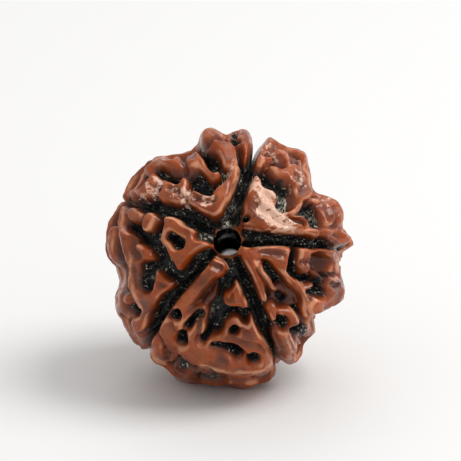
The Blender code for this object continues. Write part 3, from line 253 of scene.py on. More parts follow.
# %% The lobe at the bottom
BOTTOM_RIDGES = [
    (0.9, [(-7.3, -8.2, 0.75), (-7.3, -9.4, 0.65)]),
    (0.8, [(-7.0, -9.9, 0.7), (-6.3, -10.1, 0.8), (-5.8, -9.9, 0.6)]),
    (0.7, [(-2.7, -11.4, 0.5), (-1.6, -12.0, 0.55), (-0.5, -12.2, 0.5)]),
    (0.8, [(-5.5, -11.3, 0.45), (-4.6, -12.0, 0.4), (-3.9, -12.1, 0.4), (-3.3, -11.5, 0.4),
           (-2.8, -10.8, 0.35)]),
    (0.85, [(0.0, -12.1, 0.6), (1.1, -12.4, 0.75), (1.9, -12.2, 0.6)]),
    (0.8, [(2.9, -12.1, 0.6), (4.2, -11.6, 0.6)]),
]
BOTTOM_PLATES = [
    (1.0, [(-1.8, 0.5), (-1.2, 0.0), (-0.5, -0.5), (-0.2, -1.2), (-0.6, -1.8), (-1.4, -2.1), (-1.9, -2.7),
           (-2.5, -3.4), (-3.0, -4.2), (-3.6, -5.0), (-4.9, -5.4), (-6.2, -6.2), (-7.0, -6.1), (-6.3, -4.9),
           (-5.6, -3.8), (-4.6, -2.7), (-3.7, -1.8), (-2.8, -1.0), (-2.1, -0.2)]),
    (1.0, [(-5.6, -4.8), (-6.4, -5.8), (-7.1, -6.6), (-7.3, -7.3), (-6.6, -7.4), (-6.3, -8.5), (-5.8, -9.1),
           (-5.1, -9.2), (-4.7, -9.7), (-4.2, -10.0), (-3.4, -10.3), (-2.5, -10.4), (-1.7, -10.8),
           (-1.0, -11.2), (0.0, -11.6), (1.5, -11.7), (3.0, -11.6), (3.8, -11.2), (4.3, -10.6), (4.4, -9.7),
           (4.0, -9.0), (3.5, -8.3), (3.0, -7.5), (2.5, -6.5), (2.0, -5.3), (1.8, -6.6), (1.3, -6.4),
           (0.9, -5.9), (0.3, -5.7), (-0.3, -6.1), (-0.8, -7.1), (-1.6, -7.7), (-2.5, -7.3), (-2.3, -6.6),
           (-2.2, -5.3), (-2.5, -4.5), (-3.5, -4.4), (-4.4, -4.2)]),
    (0.95, [(0.6, -2.1), (1.1, -2.8), (1.5, -3.8), (1.8, -4.6), (1.4, -4.9), (-0.5, -4.9), (-0.8, -4.2),
            (-0.6, -3.5), (0.0, -3.3), (0.3, -2.7)]),
]
BOTTOM_PITS = [
    [(-5.3, -5.4, 0.5), (-5.1, -5.4, 0.5)],
    [(-4.0, -6.4, 0.4), (-3.0, -5.4, 0.4)],
    [(-4.5, -7.4, 0.5), (-4.6, -7.9, 0.5)],
    [(-2.6, -7.7, 0.35), (-2.1, -7.4, 0.3)],
    [(0.4, -7.0, 0.5)],
    [(2.2, -9.5, 0.55), (2.3, -9.7, 0.5)],
    [(-1.5, -8.4, 0.35), (-0.5, -8.4, 0.45), (0.3, -8.8, 0.5), (0.9, -9.3, 0.45)],
    [(-4.7, -10.6, 0.6), (-4.2, -10.7, 0.65)],
]
BOTTOM_CREASES = [
    (0.7, [(-6.9, -7.3, 0.3), (-6.6, -8.0, 0.3), (-6.4, -8.8, 0.3), (-5.7, -9.3, 0.25)]),
    (0.6, [(-1.2, -2.2, 0.6), (-2.1, -3.0, 0.6), (-2.9, -4.0, 0.6), (-3.8, -5.0, 0.4)]),
    (0.35, [(-2.0, 0.2, 0.3), (-1.6, -0.6, 0.45), (-1.0, -1.0, 0.4)]),
    (0.45, [(-0.9, -9.4, 0.5), (-0.4, -9.9, 0.5)]),
    (0.35, [(-0.2, -7.7, 0.35), (0.9, -8.1, 0.4), (2.2, -8.3, 0.4), (3.0, -8.6, 0.3)]),
    (0.3, [(1.2, -7.0, 0.4), (2.0, -7.6, 0.4)]),
    (0.4, [(-2.9, -6.2, 0.3), (-3.0, -7.0, 0.35), (-3.2, -7.9, 0.3)]),
    (0.4, [(-5.6, -6.4, 0.35), (-5.3, -7.1, 0.3)]),
    (0.35, [(-0.5, -4.0, 0.3), (0.2, -4.3, 0.3), (0.3, -3.5, 0.25)]),
    (0.6, [(2.3, -12.4, 0.25), (2.4, -11.6, 0.3)]),
    (0.5, [(-6.4, -10.3, 0.4), (-6.2, -9.2, 0.4)]),
]
print("bottom:", len(BOTTOM_RIDGES), "ridges,", len(BOTTOM_PLATES), "plates")

# %% The lobe to the lower right
LOWER_RIGHT_RIDGES = [
    (1.0, [(1.4, 0.5, 0.45), (2.0, -0.6, 0.7), (2.6, -1.9, 0.6), (3.0, -3.1, 0.5), (3.3, -3.9, 0.4)]),
    (0.9, [(2.7, -0.5, 0.4), (3.3, -1.6, 0.45), (4.0, -2.6, 0.35), (4.5, -3.2, 0.3)]),
    (0.95, [(5.2, -1.5, 0.4), (6.0, -2.2, 0.45), (6.7, -2.8, 0.5), (7.2, -3.5, 0.45), (7.3, -4.4, 0.35),
            (7.3, -5.6, 0.25)]),
    (0.9, [(7.4, -3.1, 0.3), (8.0, -2.7, 0.3)]),
    (0.95, [(8.1, 0.7, 0.35), (9.3, 0.7, 0.4), (10.4, 0.4, 0.45), (11.1, -0.3, 0.45), (11.1, -1.3, 0.4)]),
    (0.9, [(9.8, 0.3, 0.4), (9.9, -1.2, 0.35)]),
    (0.85, [(8.3, -1.3, 0.25), (8.8, -2.0, 0.3)]),
    (0.8, [(11.0, 0.8, 0.3), (11.7, 0.3, 0.35)]),
    (0.85, [(7.9, -5.8, 0.35), (7.6, -6.3, 0.35)]),
]
LOWER_RIGHT_PLATES = [
    (1.0, [(1.1, 0.9), (2.0, 1.1), (3.5, 1.3), (5.0, 1.45), (5.6, 1.4), (5.9, 0.9), (5.6, 0.0), (5.5, -1.0),
           (5.3, -1.8), (4.8, -1.5), (4.3, -0.8), (3.6, -0.2), (2.8, -0.1), (2.2, -0.4), (1.4, 0.1)]),
    (0.95, [(6.6, 1.25), (7.8, 1.2), (8.2, 0.8), (7.9, 0.0), (8.0, -1.0), (7.6, -1.6), (7.0, -1.6),
            (6.5, -1.0), (6.6, 0.2)]),
    (0.95, [(9.8, -1.9), (10.8, -1.7), (11.3, -2.3), (11.6, -3.0), (11.7, -3.8), (11.1, -4.8), (10.0, -5.4),
            (8.5, -5.8), (7.7, -5.5), (7.5, -4.5), (8.3, -3.7), (9.0, -4.0), (9.6, -3.7), (9.3, -3.1),
            (9.5, -2.5)]),
    (0.95, [(3.3, -4.9), (3.8, -4.3), (4.5, -4.3), (4.7, -4.9), (5.4, -4.8), (6.0, -4.8), (6.5, -5.6),
            (7.0, -6.2), (6.7, -6.7), (6.1, -6.9), (5.8, -7.3), (5.0, -7.4), (4.4, -6.7), (4.0, -6.0)]),
    (0.95, [(4.0, -7.0), (5.9, -7.0), (6.2, -8.0), (6.6, -8.6), (6.9, -9.4), (6.8, -10.2), (6.2, -11.0),
            (5.4, -10.9), (4.9, -9.9), (4.4, -8.8)]),
    (0.85, [(7.4, -6.2), (8.1, -6.2), (8.4, -6.9), (8.6, -7.7), (8.0, -8.4), (7.5, -9.0), (6.9, -9.6),
            (6.6, -8.8), (6.4, -7.9), (7.2, -7.8), (7.7, -7.2)]),
]
LOWER_RIGHT_PITS = [
    [(6.2, 0.7, 0.25), (6.1, -0.2, 0.35), (6.0, -1.1, 0.5)],
    [(4.9, -6.1, 0.6), (5.1, -6.3, 0.6)],
    [(6.9, -7.1, 0.55)],
    [(3.6, -0.7, 0.3), (4.2, -1.3, 0.35), (4.8, -2.2, 0.35)],
    [(4.9, -3.8, 0.35), (5.4, -4.1, 0.4)],
    [(8.6, -2.9, 0.5), (9.0, -3.4, 0.4)],
]
LOWER_RIGHT_CREASES = [
    (0.45, [(2.6, -1.0, 0.25), (3.1, -2.1, 0.25), (3.6, -3.2, 0.3)]),
    (0.4, [(3.0, 0.5, 0.45), (4.2, 0.4, 0.5), (5.0, 0.3, 0.4)]),
    (0.6, [(9.9, -2.6, 0.35), (10.7, -2.8, 0.35)]),
    (0.5, [(11.4, -3.4, 0.25), (10.7, -4.4, 0.25), (9.6, -5.1, 0.25), (8.4, -5.4, 0.25)]),
    (-0.25, [(11.2, -2.9, 0.25), (10.6, -4.1, 0.25), (9.6, -4.8, 0.25), (8.4, -5.1, 0.25)]),
    (0.5, [(4.3, -7.4, 0.4), (4.8, -8.4, 0.5), (5.1, -9.6, 0.4)]),
    (0.3, [(5.6, -7.6, 0.2), (6.0, -8.6, 0.2), (6.2, -9.6, 0.2)]),
    (0.5, [(7.0, -8.0, 0.4), (7.4, -8.3, 0.4)]),
    (0.5, [(10.3, -0.4, 0.2), (10.3, -1.4, 0.2)]),
    (0.4, [(8.9, 0.0, 0.7), (9.1, -1.0, 0.7)]),
    (0.4, [(4.6, -5.3, 0.3), (4.8, -5.7, 0.3)]),
    (0.35, [(6.9, -0.3, 0.35), (7.4, -0.6, 0.35)]),
]
print("lower right:", len(LOWER_RIGHT_RIDGES), "ridges,", len(LOWER_RIGHT_PLATES), "plates")

# %% The lobe to the upper right
UPPER_RIGHT_RIDGES = [
    (1.0, [(3.8, 11.7, 0.55), (3.3, 10.9, 0.6), (2.9, 10.0, 0.5), (2.8, 9.1, 0.4)]),
    (0.95, [(3.3, 9.8, 0.5), (4.0, 9.8, 0.45)]),
    (0.95, [(4.4, 11.5, 0.55), (5.6, 11.3, 0.5), (6.8, 10.9, 0.5), (7.3, 10.2, 0.5), (7.3, 9.7, 0.4)]),
    (0.95, [(4.6, 10.8, 0.4), (5.6, 10.4, 0.4), (6.0, 9.9, 0.4), (5.7, 9.4, 0.35)]),
    (0.9, [(4.0, 9.0, 0.3), (4.4, 8.6, 0.35), (5.2, 8.8, 0.4)]),
    (0.9, [(5.4, 4.3, 0.25), (6.4, 4.6, 0.35), (7.0, 5.2, 0.4)]),
    (0.85, [(6.0, 4.0, 0.25), (6.9, 4.0, 0.35), (7.5, 3.6, 0.35), (7.6, 3.0, 0.35)]),
    (0.9, [(7.8, 9.4, 0.45), (8.3, 8.6, 0.45), (8.3, 7.6, 0.4), (8.4, 6.9, 0.3)]),
    (0.85, [(9.8, 6.1, 0.35), (10.8, 5.4, 0.4), (11.2, 4.4, 0.45), (11.2, 3.6, 0.45)]),
    (0.95, [(7.4, 2.6, 0.35), (8.2, 2.5, 0.5)]),
    (0.9, [(9.2, 2.5, 0.35), (9.8, 2.4, 0.45)]),
    (0.9, [(10.4, 2.8, 0.45), (11.4, 2.5, 0.5), (11.9, 1.9, 0.5)]),
    (0.85, [(10.2, 1.9, 0.3), (11.4, 1.6, 0.35)]),
]
UPPER_RIGHT_PLATES = [
    (1.0, [(2.4, 8.1), (2.9, 7.8), (3.2, 6.9), (3.7, 6.8), (4.3, 6.6), (4.6, 5.9), (4.5, 5.1), (5.0, 4.5),
           (5.4, 4.0), (6.0, 3.6), (6.9, 3.3), (7.3, 2.8), (7.0, 2.4), (5.0, 2.5), (3.0, 2.8), (1.4, 3.1),
           (1.1, 4.0), (1.3, 5.0), (1.6, 6.2), (2.0, 7.4)]),
    (0.95, [(4.1, 8.6), (5.0, 8.8), (5.5, 9.2), (6.0, 9.5), (6.8, 9.4), (7.3, 8.6), (7.6, 7.8), (8.0, 7.0),
            (8.6, 6.3), (7.8, 5.9), (7.0, 5.4), (6.6, 4.7), (5.5, 4.3), (5.9, 4.8), (6.3, 5.6), (6.2, 6.3),
            (6.0, 7.1), (5.3, 7.6), (4.4, 8.0)]),
    (0.9, [(7.9, 6.0), (9.0, 6.0), (10.0, 5.5), (10.6, 4.7), (10.6, 3.7), (9.9, 3.0), (9.2, 2.9), (8.8, 3.5),
           (8.9, 4.6), (8.5, 5.3), (7.8, 5.4)]),
]
UPPER_RIGHT_PITS = [
    [(1.6, 3.9, 0.35)],
    [(4.7, 9.3, 0.35), (5.0, 9.1, 0.35)],
    [(6.3, 9.9, 0.25), (6.7, 9.8, 0.3)],
    [(7.4, 4.8, 0.3), (8.0, 4.8, 0.45), (8.3, 4.0, 0.35), (8.4, 3.3, 0.3)],
    [(3.7, 7.4, 0.25), (4.5, 7.1, 0.3), (5.4, 6.0, 0.6), (5.2, 4.9, 0.45)],
]
UPPER_RIGHT_CREASES = [
    (0.5, [(3.5, 10.3, 0.3), (4.2, 10.3, 0.3)]),
    (0.45, [(4.3, 11.1, 0.3), (5.2, 10.9, 0.3), (6.2, 10.6, 0.25)]),
    (0.4, [(3.4, 11.4, 0.25), (3.8, 10.8, 0.3)]),
    (0.5, [(7.4, 8.8, 0.25), (7.7, 7.7, 0.25), (8.2, 6.8, 0.25)]),
    (0.5, [(6.4, 8.2, 0.5), (6.9, 7.2, 0.5), (6.8, 6.2, 0.4)]),
    (0.5, [(5.6, 3.9, 0.25), (6.8, 3.8, 0.25), (7.3, 3.4, 0.25)]),
    (0.6, [(10.6, 5.2, 0.25), (10.8, 4.2, 0.25), (10.4, 3.2, 0.3)]),
    (0.35, [(8.8, 5.2, 0.4), (9.6, 4.8, 0.5), (9.6, 3.8, 0.5)]),
    (0.3, [(3.3, 6.0, 0.4), (3.6, 5.5, 0.4)]),
    (0.3, [(2.4, 5.0, 0.5), (3.2, 4.3, 0.6), (4.4, 3.6, 0.5), (5.6, 3.1, 0.4)]),
]
print("upper right:", len(UPPER_RIGHT_RIDGES), "ridges,", len(UPPER_RIGHT_PLATES), "plates")

# %% All the lobes together
# A shelf is low brown ground between ridges: an outline, with its height as a share of a full ridge.
SHELVES = [
    (0.6, [(3.2, 9.3), (3.0, 10.6), (3.8, 11.5), (5.2, 11.3), (6.6, 10.8), (7.3, 9.8), (6.3, 9.5), (5.6, 9.2),
           (4.4, 8.8)]),
    (0.3, [(8.3, 0.6), (9.9, 0.4), (10.0, -1.2), (9.2, -1.6), (8.4, -1.2)]),
    (0.5, [(-2.0, -2.6), (-1.3, -2.2), (-1.2, -3.2), (-1.6, -4.3), (-2.3, -4.8), (-3.2, -4.6)]),
    (0.5, [(4.0, -3.2), (5.2, -2.6), (6.4, -3.0), (7.0, -4.0), (6.8, -5.0), (5.4, -4.6), (4.4, -4.2)]),
    (0.5, [(6.0, 6.6), (6.9, 5.4), (6.4, 4.6), (5.9, 5.0), (5.8, 6.0)]),
    (0.5, [(-6.6, 9.2), (-3.6, 9.0), (-3.9, 8.4), (-6.2, 8.4)]),
]
RIDGES = (UPPER_LEFT_RIDGES + LEFT_RIDGES + BOTTOM_RIDGES + LOWER_RIGHT_RIDGES + UPPER_RIGHT_RIDGES)
PLATES = (UPPER_LEFT_PLATES + LEFT_PLATES + BOTTOM_PLATES + LOWER_RIGHT_PLATES + UPPER_RIGHT_PLATES)
PITS = (UPPER_LEFT_PITS + LEFT_PITS + BOTTOM_PITS + LOWER_RIGHT_PITS + UPPER_RIGHT_PITS)
CREASES = (UPPER_LEFT_CREASES + LEFT_CREASES + BOTTOM_CREASES + LOWER_RIGHT_CREASES + UPPER_RIGHT_CREASES)
print("ridges:", len(RIDGES), "plates:", len(PLATES), "pits:", len(PITS), "creases:", len(CREASES))

# %% [markdown]
# Three small helpers come first: a smooth step, the rounded profile of a ridge's edge, and a soft meeting
# of two shapes. They work on whole arrays at once, so that half a million points take seconds.

# %% Steps, edges and soft joints


def unit(vector):
    """The vector at length one."""
    return vector / np.linalg.norm(vector)


def unit_rows(rows):
    """Each row at length one."""
    return rows / np.linalg.norm(rows, axis=-1, keepdims=True)


def ease(value, start, end):
    """Nought at start, one at end, and a smooth S between."""
    t = np.clip((value - start) / (end - start), 0.0, 1.0)
    return t * t * (3.0 - 2.0 * t)


def shoulder(inside):
    """Share of the ridge's height: a full, rounded rise from just outside its edge that levels off inside."""
    t = np.clip((inside + EDGE_OUTSIDE) / EDGE_WIDTH, 0.0, 1.0)
    return (1.0 - (1.0 - t) ** EDGE_FULLNESS) ** (1.0 / EDGE_FULLNESS)


def soft_min(first, second):
    """The smaller of two fields, rounded where they cross."""
    gap = np.clip(np.abs(first - second) / SOFTNESS, 0.0, 30.0)
    return np.minimum(first, second) - SOFTNESS * np.log1p(np.exp(-gap))


print("a ridge stands at", round(float(shoulder(np.array(0.2))), 2), "of its height 0.2 mm inside its edge")

# %% [markdown]
# The plan is tilted: its right is the table's right, and it faces us from a little above. The hole's axis
# comes out of it just above the middle. These axes turn plan points into directions from the middle of the
# stone.

# %% Axes of the plan and of the hole


def plan_axes():
    """The plan's right, its up, and the way it faces, in the world."""
    tilt = math.radians(FACE_ELEVATION)
    right = np.array((1.0, 0.0, 0.0))
    up = np.array((0.0, math.sin(tilt), math.cos(tilt)))
    out = np.array((0.0, -math.cos(tilt), math.sin(tilt)))
    return right, up, out


def pole_axes():
    """Two axes across the stringing hole, and the one along it towards the face."""
    right, up, out = plan_axes()
    x, y = POLE_PLAN
    depth = math.sqrt(POLE_RADIUS ** 2 - x ** 2 - y ** 2)
    pole = unit(x * right + y * up + depth * out)
    across = unit(right - right.dot(pole) * pole)
    return across, np.cross(pole, across), pole


def pole_angles(directions):
    """Angle from the hole's axis, and turn round it."""
    across, over, pole = pole_axes()
    from_pole = np.arccos(np.clip(directions @ pole, -1.0, 1.0))
    return from_pole, np.arctan2(directions @ over, directions @ across)


print("the hole points", round(math.degrees(math.asin(pole_axes()[2][2])), 1), "degrees above level")

# %% [markdown]
# How far is a point inside a ridge? For a line of points it is the half width less the distance to the
# line, and for a plate it is the distance to its outline. Corners are cut twice first, so that drawn lines
# run round. Many such distances are joined softly, which fillets the places where ridges meet, as growth
# does.

# %% Distance inside a drawn line, and inside a plate


def cut_corners(points, closed):
    """The line with each corner cut twice, a quarter of the way along its sides."""
    line = np.array(points, dtype=float)
    for _ in range(2):
        if len(line) < 3:
            return line
        ahead = np.roll(line, -1, axis=0) if closed else line[1:]
        here = line if closed else line[:-1]
        cut = np.stack((0.75 * here + 0.25 * ahead, 0.25 * here + 0.75 * ahead), axis=1)
        cut = cut.reshape(-1, line.shape[1])
        line = cut if closed else np.vstack((line[:1], cut, line[-1:]))
    return line


def inside_line(plan, points):
    """How far each plan point lies inside a line whose half width changes along it; below nought outside."""
    line = cut_corners(points, False)
    starts = line[:-1] if len(line) > 1 else line
    ends = line[1:] if len(line) > 1 else line
    inside = np.full(len(plan), FAR_OUTSIDE)
    for start, end in zip(starts, ends):
        along = end[:2] - start[:2]
        length = max(along.dot(along), TINY)
        t = np.clip((plan - start[:2]) @ along / length, 0.0, 1.0)
        gap = np.hypot(*(plan - start[:2] - t[:, None] * along).T)
        inside = np.maximum(inside, start[2] + t * (end[2] - start[2]) - gap)
    return inside


def inside_outline(plan, points):
    """How far each plan point lies inside a closed outline; below nought outside."""
    line = cut_corners(points, True)
    nearest = np.full(len(plan), FAR_OFF)
    within = np.zeros(len(plan), dtype=bool)
    for start, end in zip(line, np.roll(line, -1, axis=0)):
        along = end - start
        t = np.clip((plan - start) @ along / max(along.dot(along), TINY), 0.0, 1.0)
        nearest = np.minimum(nearest, np.hypot(*(plan - start - t[:, None] * along).T))
        spans = (start[1] > plan[:, 1]) != (end[1] > plan[:, 1])
        rise = along[1] if abs(along[1]) > TINY else TINY
        crossing = start[0] + (plan[:, 1] - start[1]) / rise * along[0]
        within ^= spans & (plan[:, 0] < crossing)
    return np.where(within, nearest, -nearest)


def near(plan, points):
    """The plan points close enough to a feature for it to matter."""
    corners = np.array(points)[:, :2]
    low = corners.min(axis=0) + FAR_OUTSIDE
    high = corners.max(axis=0) - FAR_OUTSIDE
    return np.nonzero(((plan > low) & (plan < high)).all(axis=1))[0]


middle_of_line = inside_line(np.zeros((1, 2)), [(-1, 0, 0.5), (1, 0, 0.5)])[0]
print("the middle of a 1 mm wide line lies", middle_of_line, "mm inside it")

# %% The drawn relief of the face


def seen_on_plan(points):
    """Where points on the stone show on the plan from VIEW_DISTANCE away: what is nearer shows larger."""
    right, up, out = plan_axes()
    nearer = VIEW_DISTANCE / (VIEW_DISTANCE - points @ out)
    return np.stack((points @ right, points @ up), axis=1) * nearer[:, None]


def drawn_relief(plan, deep_plan):
    """The face's drawn ridges, plates and shelves joined softly, with its pits cut: depth inside, and height.

    Ridges are looked up where their tops show on the plan, and pits where their walls do. A shelf counts as
    only just inside, so the ridges that cross it stand above it.
    """
    total = np.full(len(plan), math.exp(FAR_OUTSIDE / SOFTNESS))
    heights = GROUND_HEIGHT * total
    kinds = (
        (RIDGES, inside_line, DEEP_INSIDE),
        (PLATES, inside_outline, DEEP_INSIDE),
        (SHELVES, inside_outline, SHELF_INSIDE),
    )
    for features, measure, most in kinds:
        for height, points in features:
            close = near(plan, points)
            weight = np.exp(np.clip(measure(plan[close], points), FAR_OUTSIDE, most) / SOFTNESS)
            total[close] += weight
            heights[close] += height * weight
    inside = SOFTNESS * np.log(total)
    for points in PITS:
        close = near(deep_plan, points)
        inside[close] = soft_min(inside[close], -inside_line(deep_plan[close], points))
    return inside, heights / total


def creased(plan):
    """How much the creases lower the ridge tops at each plan point, in mm."""
    depth = np.zeros(len(plan))
    for deepest, points in CREASES:
        close = near(plan, points)
        half = points[0][2]
        depth[close] += deepest * ease(inside_line(plan[close], points), CREASE_START * half, half)
    return depth


mouth_on_plan = seen_on_plan(pole_axes()[2][None, :] * POLE_RADIUS)[0]
print("the hole's mouth shows at", mouth_on_plan.round(2), "on the plan")

# %% [markdown]
# The sides and the back can't be seen in a picture of the face, but they grew in the same way. A sum of
# waves of nearly one length, warped, gives a maze of broad ridges and channels like those of the face.
# Round pits are sunk in it, and a low wall follows each groove. All draws are seeded, so the stone is the
# same each time.

# %% Smooth noise and the pits of the rule


def ripple(points, wavelength, seed, waves=RIPPLE_WAVES):
    """Smooth noise, mostly from minus one to one: a sum of waves with seeded directions and starts."""
    draws = np.random.default_rng(seed)
    total = np.zeros(len(points))
    for _ in range(waves):
        way = unit(draws.normal(size=3))
        turns = 2.0 * math.pi / (wavelength * draws.uniform(*RIPPLE_SPREAD))
        total += np.sin(points @ way * turns + draws.uniform(0.0, 2.0 * math.pi))
    return total / math.sqrt(2.0 * waves)


def pit_middles():
    """Middles and radii of the round pits: a spiral evenly over the ball, each one moved by a seeded step."""
    draws = np.random.default_rng(SEED)
    step = np.arange(PIT_COUNT) + 0.5
    height = 1.0 - 2.0 * step / PIT_COUNT
    turn = step * math.pi * (3.0 - math.sqrt(5.0))
    around = np.sqrt(1.0 - height ** 2)
    ball = np.stack((around * np.cos(turn), around * np.sin(turn), height), axis=1) * RING_RADIUS
    moved = ball + draws.normal(size=ball.shape) * PIT_JITTER
    return moved, PIT_RADIUS * draws.uniform(*PIT_SPREAD, size=PIT_COUNT)


print(len(pit_middles()[0]), "round pits over the whole ball, before the face takes its own")

# %% The rule for the sides and the back


def ruled_relief(directions):
    """Ridges of the sides and back: a maze of raised ground between channels, with round pits sunk in it."""
    ball = directions * RING_RADIUS
    warp = np.stack([ripple(ball, WARP_WAVE, SEED + 1 + axis) for axis in range(3)], axis=1)
    ball = ball + WARP * warp
    maze = ripple(ball, MAZE_WAVE, SEED + 5, MAZE_WAVES) * math.sqrt(2.0)
    ground = MAZE_GROUND + MAZE_SWING * ripple(ball, MAZE_SWING_WAVE, SEED + 7)
    inside = MAZE_SLOPE * (maze - ground)
    for middle, radius in zip(*pit_middles()):
        close = np.nonzero(np.abs(ball - middle).max(axis=1) < radius - FAR_OUTSIDE)[0]
        gap = np.linalg.norm(ball[close] - middle, axis=1)
        inside[close] = soft_min(inside[close], gap - radius)
    return inside, MAZE_HEIGHT + MAZE_HEIGHT_SWING * ripple(ball, MAZE_HEIGHT_WAVE, SEED + 9)


# %% [markdown]
# Each groove starts at the hole, follows its drawn line over the face and runs on round the stone to the
# other mouth of the hole. Its place is read as a turn round the hole's axis, which stays smooth over the
# rim.

# %% Distance inside the nearest groove


def inside_grooves(directions):
    """How far each direction lies inside the nearest groove, in mm; below nought outside them."""
    right, up, out = plan_axes()
    from_pole, turn = pole_angles(directions)
    inside = np.full(len(directions), -FAR_OFF)
    for points in GROOVES:
        x, y, half = np.array(points).T
        depth = np.sqrt(RING_RADIUS ** 2 - x ** 2 - y ** 2)
        smaller = 1.0 - depth / VIEW_DISTANCE
        line = unit_rows(np.stack((x * smaller, y * smaller, depth), axis=1)) @ np.stack((right, up, out))
        line_angle, line_turn = pole_angles(line)
        middle = np.interp(from_pole, line_angle, np.unwrap(line_turn))
        bend = np.sin(GROOVE_BENDS * from_pole + GROOVE_BEND_SHIFT * line_turn[-1])
        bend = bend * ease(from_pole, *GROOVE_BEND_STARTS)
        middle = middle + GROOVE_BEND * bend
        off = np.angle(np.exp(1j * (turn - middle)))
        gap = np.abs(off) * np.sin(from_pole) * RING_RADIUS
        gap = np.where(np.abs(off) > GROOVE_REACH, FAR_OFF, gap)
        inside = np.maximum(inside, np.interp(from_pole, line_angle, half) - gap)
    return inside


# %% [markdown]
# The envelope is the skin that would just touch the ridge tops. It is the flattened ball, pushed in and
# out near the rim of the face so that the outline has its knobs and notches, and filled a little
# underneath where the stone stands.

# %% The envelope and the foot


def inside_foot(directions):
    """How far each direction lies inside the wavy-edged knob under the seed; below nought outside."""
    ball = directions * RING_RADIUS
    edge = FOOT_RADIUS + FOOT_SWING * np.clip(ripple(ball, FOOT_WAVE, SEED + 11), -1.0, 1.0)
    return np.where(ball[:, 2] < 0.0, edge - np.hypot(ball[:, 0], ball[:, 1]), -FAR_OFF)


def envelope(directions):
    """Radius to the ridge tops: a slightly flattened ball, with the face's rim and the foot worked in."""
    right, up, out = plan_axes()
    pole = pole_axes()[2]
    along = directions @ pole
    ball = 1.0 / np.sqrt((1.0 - along ** 2) / RING_RADIUS ** 2 + along ** 2 / POLE_RADIUS ** 2)
    facing = directions @ out
    angle = np.degrees(np.arctan2(directions @ up, directions @ right))
    rim_angle, rim_radius = np.array(RIM, dtype=float).T
    rim = sum(np.interp(angle + step * RIM_SOFTENING, rim_angle, rim_radius, period=360.0)
              for step in (-1.0, 0.0, 0.0, 1.0)) / 4.0
    share = ease(facing, *RIM_FRONT) * ease(facing, *RIM_BACK)
    radius = ball + share * (rim - ball)
    return radius + FOOT_RISE * ease(inside_foot(directions), *FOOT_BLEND)


# %% The radius of the surface in each direction


def looked_up(directions, top):
    """Where ridge tops and pit walls in these directions show on the plan, far off for all behind the face.

    A small waver keeps the drawn edges from being too even.
    """
    facing = directions @ plan_axes()[2]
    ball = directions * RING_RADIUS
    waver = EDGE_WAVER * np.stack([ripple(ball, EDGE_WAVE, SEED + 21 + axis) for axis in range(2)], axis=1)
    lower = ease(facing, 0.0, RIM_FACING)
    behind = (facing < 0.0)[:, None]
    return [
        np.where(behind, FAR_OFF, waver + seen_on_plan(directions * (top - depth * lower)[:, None]))
        for depth in (TOP_DEPTH, PIT_DEPTH)
    ]


def from_mouth(directions):
    """How far each direction lies outside the rim of the nearer mouth of the hole, in mm."""
    from_pole = pole_angles(directions)[0]
    return np.minimum(from_pole, math.pi - from_pole) * POLE_RADIUS - MOUTH_RADIUS


def relief(directions):
    """Radius of the stone's surface in each direction, and how far each point lies inside raised ground.

    The radius is the envelope, less the depth of the channels and pits, less the grooves. The drawn face
    gives way to the rule where the surface turns away from the plan. The rule runs a ridge along each side of
    every groove, and a wavering one round the face's rim, which makes the outline.
    """
    top = envelope(directions)
    ball = directions * RING_RADIUS
    facing = directions @ plan_axes()[2]
    plans = looked_up(directions, top)
    drawn, drawn_height = drawn_relief(*plans)
    ruled, ruled_height = ruled_relief(directions)
    foot = inside_foot(directions)
    groove = np.minimum(inside_grooves(directions), -foot)
    border = BORDER_HALF - np.abs(groove + BORDER_GAP) + MAZE_SWING * ripple(ball, BORDER_WAVE, SEED + 13)
    rim = RIM_HALF - np.abs(facing) * RING_RADIUS + RIM_SWING * ripple(ball, RIM_WAVE, SEED + 15)
    ruled = np.maximum(np.maximum(ruled, border), rim)
    share = ease(facing, *FACE_ENDS)
    inside = ruled + share * (drawn - ruled)
    height = ruled_height + share * (drawn_height - ruled_height)
    inside = np.maximum(soft_min(inside, -groove), foot)
    height = np.where(foot > 0.0, 1.0, height)
    low = RIDGE_HEIGHT * (1.0 - height * shoulder(inside))
    low = low + share * creased(plans[0]) * ease(inside, *CREASED_INSIDE)
    low = low + GROOVE_EXTRA * ease(groove, *GROOVE_SLOPE)
    radius = top + TOP_WAVER * ripple(ball, TOP_WAVE, SEED + 23) - low
    mouth = POLE_RADIUS - MOUTH_SINK
    return mouth + (radius - mouth) * ease(from_mouth(directions), 0.0, MOUTH_BLEND), inside


# %% [markdown]
# The grid has two parameters: the turn round the hole's axis, and the way from the face's mouth of the
# hole over the outside to the back's mouth. The wall of the hole joins the last row to the first, so the
# grid closes on itself both ways and has no pole where faces would pinch.

# %% The grid of the outside and of the hole's wall


def outer_directions(columns, rows):
    """Directions of the outside's grid, from the face's mouth to the back's: rows round the hole's axis."""
    start = MOUTH_RADIUS / (POLE_RADIUS - MOUTH_SINK)
    from_pole = np.linspace(start, math.pi - start, rows)[:, None]
    turn = np.linspace(0.0, 2.0 * math.pi, columns, endpoint=False)[None, :]
    x = np.sin(from_pole) * np.cos(turn)
    y = np.sin(from_pole) * np.sin(turn)
    z = np.broadcast_to(np.cos(from_pole), x.shape)
    return np.stack((x, y, z), axis=-1).reshape(-1, 3) @ np.stack(pole_axes())


